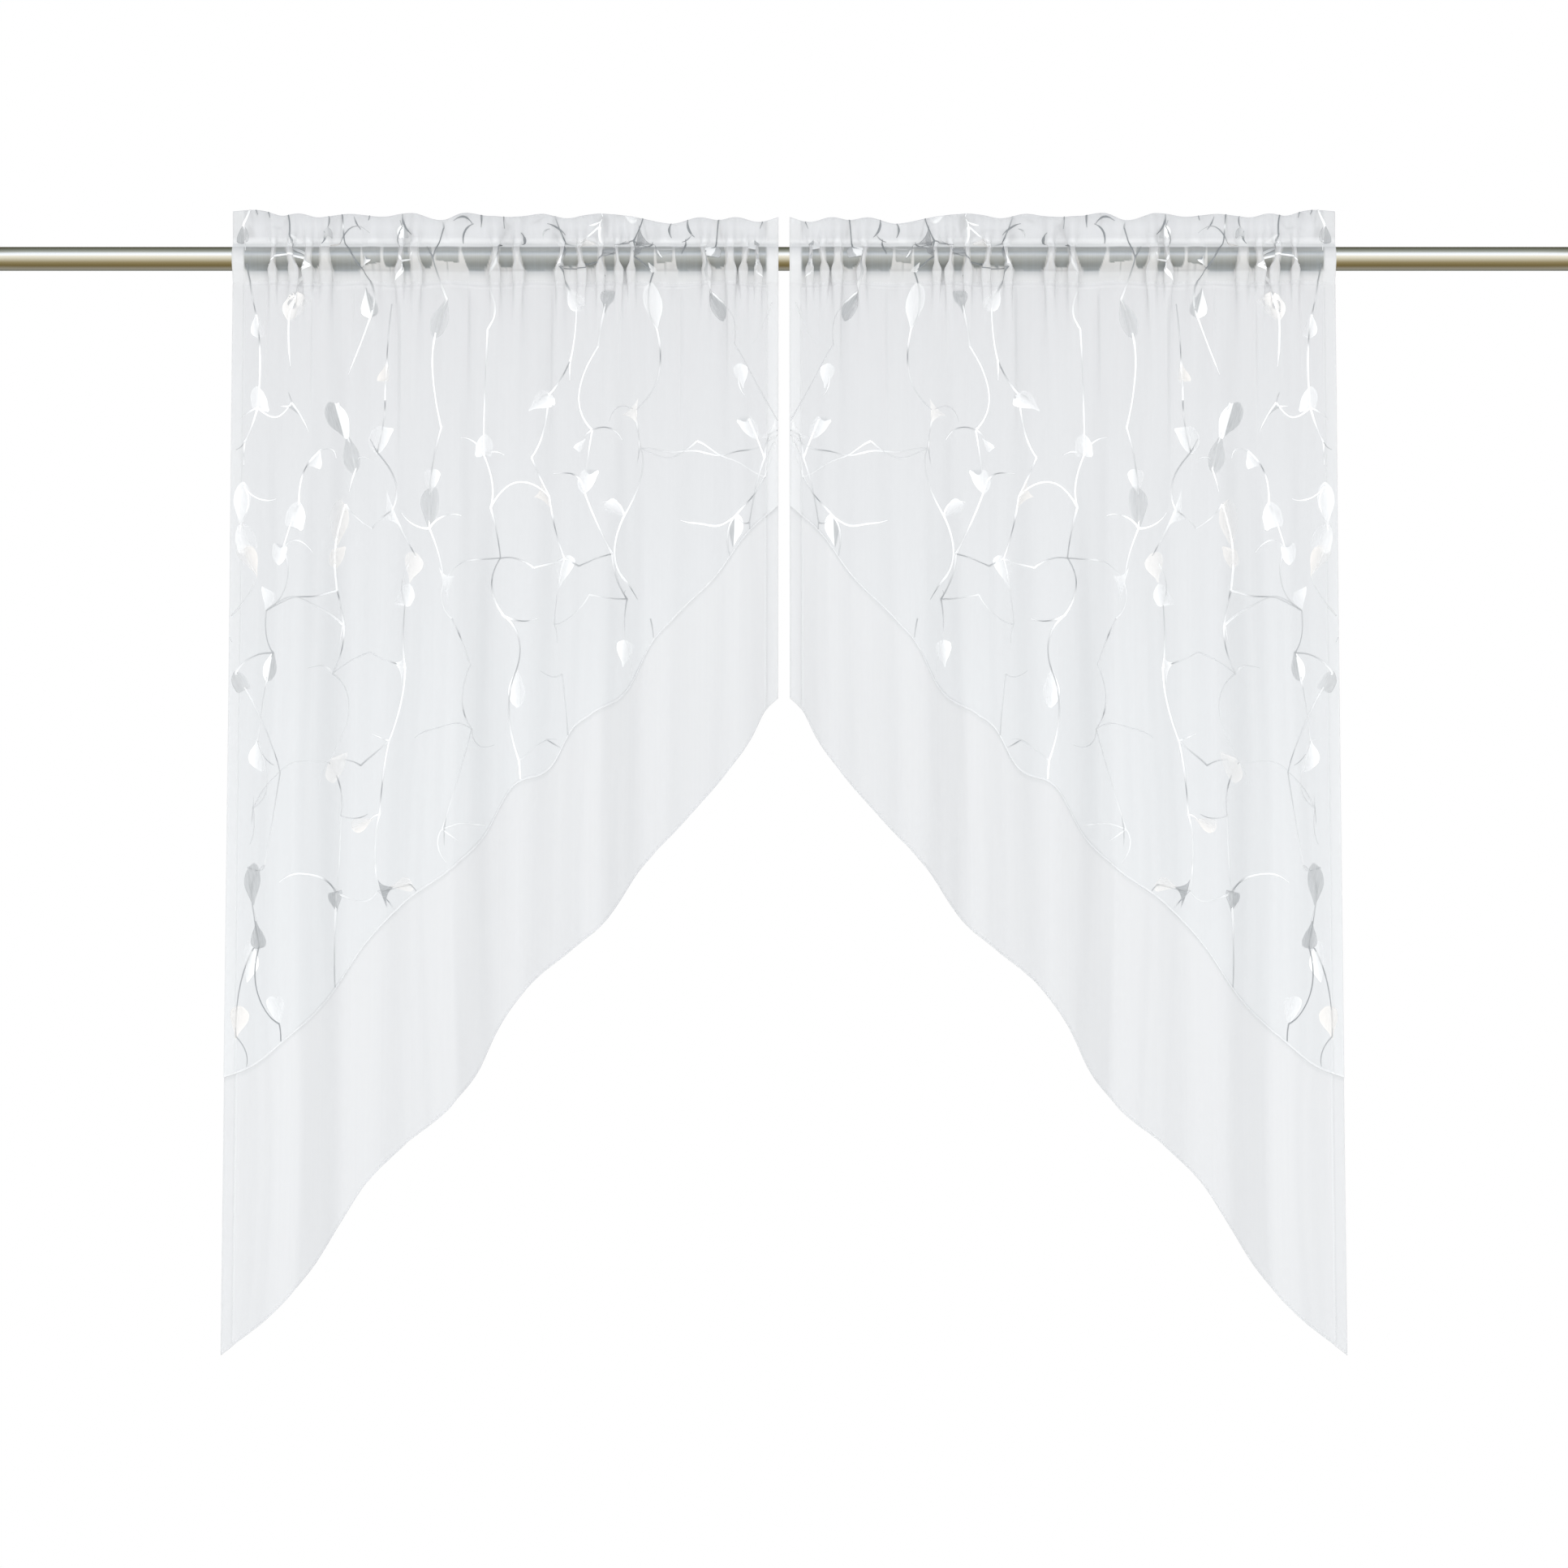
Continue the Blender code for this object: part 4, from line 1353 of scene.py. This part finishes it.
    # Satin that fills the corner between twigs at a fork, with hollow edges
    def web(self, node, directions, look):
        corners = sorted(directions, key=lambda d: math.atan2(d[1], d[0]))
        corners = [node + d * self.random.uniform(*pods["webReach"]) for d in corners]
        outline = []
        for i, a in enumerate(corners):
            b = corners[(i + 1) % len(corners)]
            wide = np.cross(a - node, b - node) <= 0 and len(corners) == 2
            hold = node + ((a + b) / 2 - node) * (0.0 if wide else pods["webHollow"])
            steps = np.linspace(0, 1, pods["webSteps"], endpoint=False)
            outline += [curveThrough(a, hold, b, t) for t in steps]
        outline = np.array(outline)
        centre = outline.mean(axis=0) * 0.5 + node * 0.5
        self.patch(outline, centre, unit(corners[0] - node), **look)

    def either(self):  # one way or the other
        return self.random.choice([-1, 1])

    def oneOf(self, kinds):
        return kinds[int(self.random.integers(len(kinds)))]

    # Brightness and darkness of the satin at a cloth place; the darkness is painted shade of its sheen
    def light(self, at):
        pick = self.random
        x, y = at
        if y < design["headingEnd"]:
            return twigLight["headingLights"][0 if pick.random() < twigLight["headingDark"] else 1]
        (left, across), (top, down), most = twigLight["corner"]
        if pick.random() < fade(x - left, across) * fade(y - top, down) * most:
            return twigLight["cornerLight"]
        if pick.random() < np.interp(y, *twigLight["brightShare"]):
            return (pick.uniform(*twigLight["bright"]), 0.0)
        values, often = twigLight["faintDark"]
        return (pick.uniform(*twigLight["faint"]), pick.choice(values, p=often))

    # How a pod at a cloth place looks: painted grey of a shaded sheen, ivory, white with a painted grey
    # half, or white
    def podFinish(self, at):
        pick = self.random
        y = at[1]
        grey, warm = float(np.interp(y, *pods["grey"])), float(np.interp(y, *pods["warm"]))
        lighter, end = pods["lighter"]
        deep = lighter if design["headingEnd"] <= y <= end else 1.0
        pale = pick.uniform(*pods["pale"]) * self.either()
        roll = pick.random()
        if roll < grey:
            tone, ivory, veil = pods["greyLook"]
            return finish(deep * pick.uniform(*tone), ivory, pick.uniform(*veil), pale=pale)
        if roll < grey + warm:
            tone, ivory, veil = pods["warmLook"]
            return finish(tone, pick.uniform(*ivory), pick.uniform(*veil), pale=pale)
        if roll < grey + warm + pods["half"]:
            tone, ivory, veil, pale = pods["halfLook"]
            return finish(tone, ivory, veil, split=True, pale=pale)
        tone, ivory, veil = pods["whiteLook"]
        return finish(pick.uniform(*tone), ivory, pick.uniform(*veil), pale=pale)

    def node(self, at):  # a place where twigs meet
        return {"at": at, "light": self.light(at), "ways": []}

    def tie(self, a, b, bow, lead):
        a["ways"].append(unit(b["at"] - a["at"]))
        b["ways"].append(unit(a["at"] - b["at"]))
        self.twig(a["at"], b["at"], (a["light"], b["light"]), bow, lead)

    # A twig that stops on its way
    def stub(self, node, end, bow, lead=0.5, dark=None):
        bright, own = node["light"]
        last = (bright, own if dark is None else dark)
        self.twig(node["at"], end, (node["light"], last), bow, lead, free=(False, True))
        node["ways"].append(unit(end - node["at"]))

    def chain(self, home):  # the nodes of one chain, from above the cloth to below it
        pick = self.random
        sideways, upDown = design["topSpread"]
        spot = np.array([home + pick.normal(0, sideways), design["top"] + pick.uniform(-upDown, upDown)])
        nodes = []
        while spot[1] < design["bottom"]:
            nodes.append(self.node(spot))
            limits = next(lengths for end, *lengths in design["twigLength"] if spot[1] < end)
            length = pick.uniform(*limits)
            move = pick.normal(0, design["swing"]) * length + design["homing"] * (home - spot[0])
            spot = spot + np.array([move, length])
        return nodes

    def longTwig(self, a, b):
        pick = self.random
        straight, slight = design["straight"]
        if pick.random() < straight:
            bow = pick.normal(0, slight)
        else:
            bow = self.either() * pick.uniform(*design["bow"])
        lead = pick.uniform(*design["lead"])
        missing, above = design["headingMissing"]
        if pick.random() < (missing if a["at"][1] < above else design["missing"]):
            self.stub(a, a["at"] + (b["at"] - a["at"]) * pick.uniform(*design["broken"]), bow, lead)
        else:
            self.tie(a, b, bow, lead)

    # An arc or a bent twig from one chain's node to the next chain
    def arc(self, node, others):
        pick = self.random
        y = node["at"][1]
        near = min(others, key=lambda n: abs(n["at"][1] - y - pick.normal(0, arcs["wander"])))
        if pick.random() > np.interp(y, *arcs["share"]) or abs(near["at"][1] - y) > arcs["rise"]:
            return
        if pick.random() < arcs["brokenShare"]:
            first, second = (node, near) if pick.random() < 0.5 else (near, node)
            end = first["at"] + (second["at"] - first["at"]) * pick.uniform(*arcs["broken"])
            self.stub(first, end, self.either() * pick.uniform(*arcs["brokenBow"]), dark=0.0)
        elif pick.random() < arcs["plainShare"]:
            bow = self.either() * pick.uniform(*arcs["bow"])
            self.tie(node, near, bow, pick.uniform(*design["lead"]))
        else:
            sideways, low, high = arcs["corner"]
            off = (pick.normal(0, sideways), self.either() * pick.uniform(low, high))
            middle = self.node((node["at"] + near["at"]) / 2 + off)
            self.tie(node, middle, pick.normal(0, arcs["cornerBow"]), 0.5)
            self.tie(middle, near, pick.normal(0, arcs["cornerBow"]), 0.5)
            if pick.random() < arcs["cornerNode"]:
                self.finishNode(middle)

    def grow(self):
        chains = [self.chain(home) for home in np.linspace(*design["chains"])]
        for chain in chains:
            for a, b in zip(chain, chain[1:]):
                self.longTwig(a, b)
        for left, right in zip(chains, chains[1:]):
            for node in left:
                self.arc(node, right)
        for chain in chains:
            for node in chain:
                self.finishNode(node)
        for _ in range(dashes["count"]):
            self.dash()

    # A short dash of the design that the ruffle's gathers leave in sight
    def dash(self):
        pick = self.random
        at = np.array([pick.uniform(*dashes["across"]), pick.uniform(*dashes["down"])])
        way = wayAt(pick.normal(math.pi / 2, dashes["turn"]))
        end = at + way * pick.uniform(*dashes["length"])
        dark = pick.random() < dashes["dark"]
        light = dashes["lights"][0 if dark else 1]
        bow = self.either() * pick.uniform(*dashes["bow"])
        self.twig(at, end, (light, light), bow, thickness=dashes["thickness"], free=(True, True))
        if pick.random() < dashes["podShare"]:
            kind = self.oneOf(pods["smallKinds"])
            tone = pick.uniform(*dashes["podTone"]) if dark else 0.0
            look = finish(tone, 0.0, pick.uniform(*dashes["podVeil"]), pale=dashes["podPale"])
            self.pod(end, way, kind, pick.uniform(*dashes["podSize"]), look)

    # Stubs and pods at one node
    def finishNode(self, node):
        pick = self.random
        ways, at = node["ways"], node["at"]
        if not ways or at[1] > design["lastNode"]:
            return
        small = pods["headingSize"] if at[1] < design["headingEnd"] else 1.0
        if pick.random() < stubs["share"]:
            back = -self.oneOf(ways)
            way = wayAt(math.atan2(back[1], back[0]) + pick.normal(0, stubs["turn"]))
            if min(float(np.hypot(*(way - w))) for w in ways) > stubs["apart"]:
                end = at + way * (pick.uniform(*stubs["length"]) * small)
                self.stub(node, end, pick.normal(0, stubs["bow"]))
                if pick.random() < stubs["podShare"]:
                    kind = self.oneOf(pods["smallKinds"])
                    size = pick.uniform(*podShapes[kind][0]) * small * stubs["podSize"]
                    self.pod(end - way * stubs["podLap"], way, kind, size, self.podFinish(at))
                    return
        roll = pick.random()
        look = self.podFinish(at)
        if len(ways) >= 3 and roll < pods["webShare"]:
            self.web(at, ways[:3] if pick.random() < 1 - pods["twoWays"] else ways[:2], look)
        elif roll < pods["webShare"] + pods["share"]:
            kind = self.oneOf(pods["kinds"])
            size = pick.uniform(*podShapes[kind][0]) * small
            upright = min(ways, key=lambda w: w[1] if pick.random() < 0.5 else -w[1])
            share, past = pods["hanging"]
            if pick.random() < share:
                self.pod(at + upright * size * past, -upright, kind, size, look)
            else:
                self.pod(at - upright * pods["lap"], upright, kind, size, look)

    def piece(self, name, side, material):
        points = np.concatenate(self.points) * (side, 1, 1)
        faces = [f if side > 0 else f[::-1] for f in self.faces]
        values = {k: np.concatenate(v) for k, v in self.values.items()}
        piece = meshPiece(name, points, faces, material, np.concatenate(self.uv), values)
        piece.data.set_sharp_from_angle(angle=math.radians(twigShape["sharpOver"]))
        return piece


net = Design(ClothMap(panelGrid))
net.grow()
print("twigs and pods:", net.pieces, "with", sum(len(f) - 2 for f in net.faces), "triangles a side")


# Machine stitches along every sewn line, by Geometry Nodes.
sewing = {
    "pitch": 0.0030,
    "length": 0.0024,
    "thickness": 0.00032,
    "wobble": 0.05,
    "seed": 3,
    "lift": 0.00012,  # middle of the thread over the cloth
    "sideInset": 0.0108,
    "seamInset": 0.0012,
    "hemInset": 0.0026,
}


def stitchTree():
    tree = bpy.data.node_groups.new("machineStitches", "GeometryNodeTree")
    face = tree.interface
    face.new_socket("Geometry", in_out="INPUT", socket_type="NodeSocketGeometry")
    for name in ("pitch", "length", "thickness", "wobble"):
        face.new_socket(name, in_out="INPUT", socket_type="NodeSocketFloat")
    face.new_socket("seed", in_out="INPUT", socket_type="NodeSocketInt")
    face.new_socket("thread", in_out="INPUT", socket_type="NodeSocketMaterial")
    face.new_socket("Geometry", in_out="OUTPUT", socket_type="NodeSocketGeometry")
    inputs = place(tree, "NodeGroupInput", output=tuple(range(7)))
    line, pitch, length, thickness, wobble, seed, thread = inputs
    curve = place(tree, "GeometryNodeMeshToCurve", sockets={"Mesh": line})
    along = {"Curve": curve, "Length": pitch}
    even = place(tree, "GeometryNodeResampleCurve", {"mode": "LENGTH"}, along)
    ball = place(tree, "GeometryNodeMeshUVSphere", sockets={"Segments": 6, "Rings": 4, "Radius": 0.5})
    shape = combine(tree, length, thickness, thickness)
    stitch = place(tree, "GeometryNodeTransform", sockets={"Geometry": ball, "Scale": shape})
    tangent = place(tree, "GeometryNodeInputTangent")
    turned = place(tree, "FunctionNodeAlignRotationToVector", {"axis": "X"}, {"Vector": tangent})
    most = combine(tree, wobble, wobble, wobble)
    least = place(tree, "ShaderNodeVectorMath", {"operation": "SCALE"}, {0: most, "Scale": -1.0})
    limits = {0: least, 1: most, "Seed": seed}
    shake = place(tree, "FunctionNodeRandomValue", {"data_type": "FLOAT_VECTOR"}, limits)
    local = {"rotation_space": "LOCAL"}
    shaken = place(tree, "FunctionNodeRotateRotation", local, {0: turned, 1: shake})
    sewn = {"Points": even, "Instance": stitch, "Rotation": shaken}
    stitches = place(tree, "GeometryNodeInstanceOnPoints", sockets=sewn)
    real = place(tree, "GeometryNodeRealizeInstances", sockets={0: stitches})
    done = place(tree, "GeometryNodeSetMaterial", sockets={"Geometry": real, "Material": thread})
    place(tree, "NodeGroupOutput", sockets={0: done})
    return tree


# Polylines become one plain mesh of stitches.
def stitchPiece(name, lines, side):
    points, edges = [], []
    for line in lines:
        base = len(points)
        points.extend((np.asarray(line) * (side, 1, 1)).tolist())
        edges.extend((base + i, base + i + 1) for i in range(len(line) - 1))
    mesh = bpy.data.meshes.new(name + "Line")
    mesh.from_pydata(points, edges, [])
    guide = bpy.data.objects.new(name + "Line", mesh)
    scene.collection.objects.link(guide)
    modifier = guide.modifiers.new("stitches", "NODES")
    modifier.node_group = stitchNodes
    values = {k: sewing[k] for k in ("pitch", "length", "thickness", "wobble", "seed")}
    values["thread"] = materials["thread"]
    for item in stitchNodes.interface.items_tree:
        if item.name in values:
            modifier[item.identifier] = values[item.name]
    bpy.context.view_layer.update()
    graph = bpy.context.evaluated_depsgraph_get()
    made = bpy.data.meshes.new_from_object(guide.evaluated_get(graph))
    made.name = name
    bpy.data.objects.remove(guide)
    made.polygons.foreach_set("use_smooth", [True] * len(made.polygons))
    piece = bpy.data.objects.new(name, made)
    scene.collection.objects.link(piece)
    return piece


def rowLine(grid, row):  # a sewn line along a row
    points = grid["points"][row] + grid["normals"][row] * sewing["lift"]
    return points[2:-2]


def columnLine(grid, at):  # a sewn line down the column nearest to a place
    i = int(np.argmin(np.abs(grid["out"] - at)))
    points = grid["points"][:, i] + grid["normals"][:, i] * sewing["lift"]
    return points[:-1]


def lowerLine(grid, inset):  # a sewn line along the lower edge
    line = []
    for c in range(3, len(grid["out"]) - 3):
        down = grid["down"][:, c]
        row = np.interp(down[-1] - inset, down, np.arange(len(down)))
        low, f = min(int(row), len(down) - 2), row - int(row)
        point = grid["points"][low, c] * (1 - f) + grid["points"][low + 1, c] * f
        line.append(point + grid["normals"][low, c] * sewing["lift"])
    return np.array(line)


def edgeLines(grid, inset):  # down both side hems and along the lower edge
    inner, outer = hang["innerEdge"] + sewing["sideInset"], hang["outerEdge"] - sewing["sideInset"]
    return [columnLine(grid, inner), columnLine(grid, outer), lowerLine(grid, inset)]


stitchNodes = stitchTree()
rowHeights = panelGrid["points"][foldRow:pocketRow, :, 2].mean(axis=1)
upperFront = foldRow + int(np.flatnonzero(rowHeights > heading["stitchHeight"] - 1e-6)[-1])
upperBack = 2 * foldRow - upperFront
lowerBack = 2  # the row over the raw edge's own two
panelSeams = [rowLine(panelGrid, row) for row in (upperFront, upperBack, pocketRow, lowerBack)]
panelSeams += edgeLines(panelGrid, sewing["seamInset"])
borderSeams = edgeLines(borderGrid, sewing["hemInset"])
print("stitch lines:", len(panelSeams), "and", len(borderSeams))


def area(piece):
    values = np.zeros(len(piece.data.polygons))
    piece.data.polygons.foreach_get("area", values)
    return float(values.sum())


rodPiece = buildRod()
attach(rodPiece, "root")
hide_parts("rod")
for name, side in (("left", -1), ("right", 1)):
    panel = clothPiece(name + "Panel", panelSheet, side, materials["panel"])
    border = clothPiece(name + "Border", borderSheet, side, materials["border"])
    for piece, node, slot in ((panel, "_panel", "patterned_voile"), (border, "_border", "plain_voile")):
        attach(piece, "root")
        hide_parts(name + node)
    twigs = net.piece(name + "Twigs", side, materials["satin"])
    panelStitches = stitchPiece(name + "PanelStitches", panelSeams, side)
    borderStitches = stitchPiece(name + "BorderStitches", borderSeams, side)
    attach(twigs, "root")
    for piece, slot in ((panelStitches, "patterned_voile"), (borderStitches, "plain_voile")):
        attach(piece, "root")
    panel.visible_glossy = border.visible_glossy = False  # the rod's gloss would go dull under the cloth
    quads = [len(piece.data.polygons) for piece in (panel, border)]
    print(name, "cloth:", quads[0] * 2, "and", quads[1] * 2, "triangles")
    print("areas:", round(area(panel), 4), round(area(border), 4))
    area(panel) * 1.02
    area(border) * 1.02


# The room: white all round, darker and warmer bands that only gloss sees, one soft light.
def buildWorld():
    world = bpy.data.worlds.new("studio")
    scene.world = world
    world.use_nodes = True
    tree = world.node_tree
    tree.nodes.clear()
    toCamera, glossy = place(tree, "ShaderNodeLightPath", output=("Is Camera Ray", "Is Glossy Ray"))
    _, y, z = parts(tree, place(tree, "ShaderNodeTexCoord"))
    # 0 straight ahead of the curtain, 0.5 behind it, going up over the top
    turned = (z.maths("ARCTAN2", y * -1.0) / (2 * math.pi) + 1.0).maths("FRACT")
    bands = place(tree, "ShaderNodeValToRGB", {"stops": studio["bands"]}, {0: turned})
    behind = (y * 0.5 + 0.5).within()
    plain = colourMix(tree, behind, studio["front"], studio["back"])
    ambient = colourMix(tree, z.within(), plain, studio["top"])
    seen = colourMix(tree, glossy, ambient, bands)
    final = colourMix(tree, toCamera, seen, (1.0, 1.0, 1.0))
    light = place(tree, "ShaderNodeBackground", sockets={"Color": final, "Strength": 1.0})
    place(tree, "ShaderNodeOutputWorld", sockets={0: light})


studio = {
    "front": (0.50, 0.50, 0.50),
    "back": (0.70, 0.705, 0.71),
    "top": (1.24, 1.28, 1.32),
    "bands": [  # share of a turn from straight ahead, over the top
        (0.00, (0.90, 0.89, 0.77)), (0.06, (1.17, 1.16, 1.07)), (0.10, (1.43, 1.54, 1.75)),
        (0.14, (1.28, 1.41, 1.64)), (0.20, (0.45, 0.49, 0.47)), (0.27, (0.24, 0.27, 0.24)),
        (0.37, (0.09, 0.085, 0.05)), (0.50, (0.08, 0.08, 0.055)), (0.60, (0.28, 0.29, 0.27)),
        (0.68, (0.40, 0.39, 0.34)), (0.80, (0.21, 0.165, 0.065)), (0.90, (0.40, 0.34, 0.19)),
        (1.00, (0.90, 0.89, 0.77)),
    ],
    # softboxes: place, size, power
    "lights": [
        ((0.0, -4.6, -0.9), 2.6, 56.0),
        ((-2.9, -2.6, -0.9), 1.8, 46.0),
        ((2.9, -2.6, -0.9), 1.8, 46.0),
    ],
    "floorHeight": -2.1, "floorRadius": 4.0, "floorSides": 96,
    "floorRings": (0.25, 0.5, 0.75, 1.0), "floorGrain": (3.0, 5.0),  # scale and detail
    "floorDark": (0.82, 0.82, 0.81), "floorLight": (0.87, 0.87, 0.86), "floorRoughness": 0.85,
    "lightAim": (0.08, -0.55),  # share of a light's own place sideways, and height
    "lens": 142.4, "cameraPlace": (0.0, -6.5, -0.5503),
}


def buildFloor():
    n, level = studio["floorSides"], studio["floorHeight"]
    angles = np.linspace(0, 2 * np.pi, n, endpoint=False)
    rings = [studio["floorRadius"] * s for s in studio["floorRings"]]
    points = [(0, 0, level)] + [(r * math.cos(a), r * math.sin(a), level) for r in rings for a in angles]
    faces = [(0, 1 + i, 1 + (i + 1) % n) for i in range(n)]
    for start in range(1, 1 + (len(rings) - 1) * n, n):
        for i in range(n):
            a, b = start + i, start + (i + 1) % n
            faces.append((a, a + n, b + n, b))
    material, tree = newMaterial("paleFloor")
    scale, detail = studio["floorGrain"]
    grain = noise(tree, place(tree, "ShaderNodeTexCoord", output=3), scale, detail)
    colour = colourMix(tree, grain, studio["floorDark"], studio["floorLight"])
    surfaceOutput(tree, solid(tree, colour, studio["floorRoughness"], {}))
    floor = meshPiece("floor", points, faces, material)
    floor.visible_glossy = False


def buildCamera():
    data = bpy.data.cameras.new("camera")
    data.sensor_width = 36.0
    data.lens = studio["lens"]
    data.clip_end = 100.0
    camera = bpy.data.objects.new("camera", data)
    camera.location = studio["cameraPlace"]
    camera.rotation_euler = (math.radians(90), 0.0, 0.0)
    scene.collection.objects.link(camera)
    scene.camera = camera


def buildLights():
    inwards, height = studio["lightAim"]
    for at, size, power in studio["lights"]:
        data = bpy.data.lights.new("softbox", "AREA")
        data.size = size
        data.energy = power
        light = bpy.data.objects.new("softbox", data)
        light.location = at
        aim = Vector((at[0] * inwards, 0.0, height)) - light.location
        light.rotation_euler = aim.to_track_quat("-Z", "Y").to_euler()
        light.visible_glossy = False
        scene.collection.objects.link(light)


buildWorld()
buildFloor()
buildCamera()
buildLights()
scene.view_settings.view_transform = "Standard"
scene.cycles.use_denoising = True
scene.cycles.transparent_max_bounces = 40
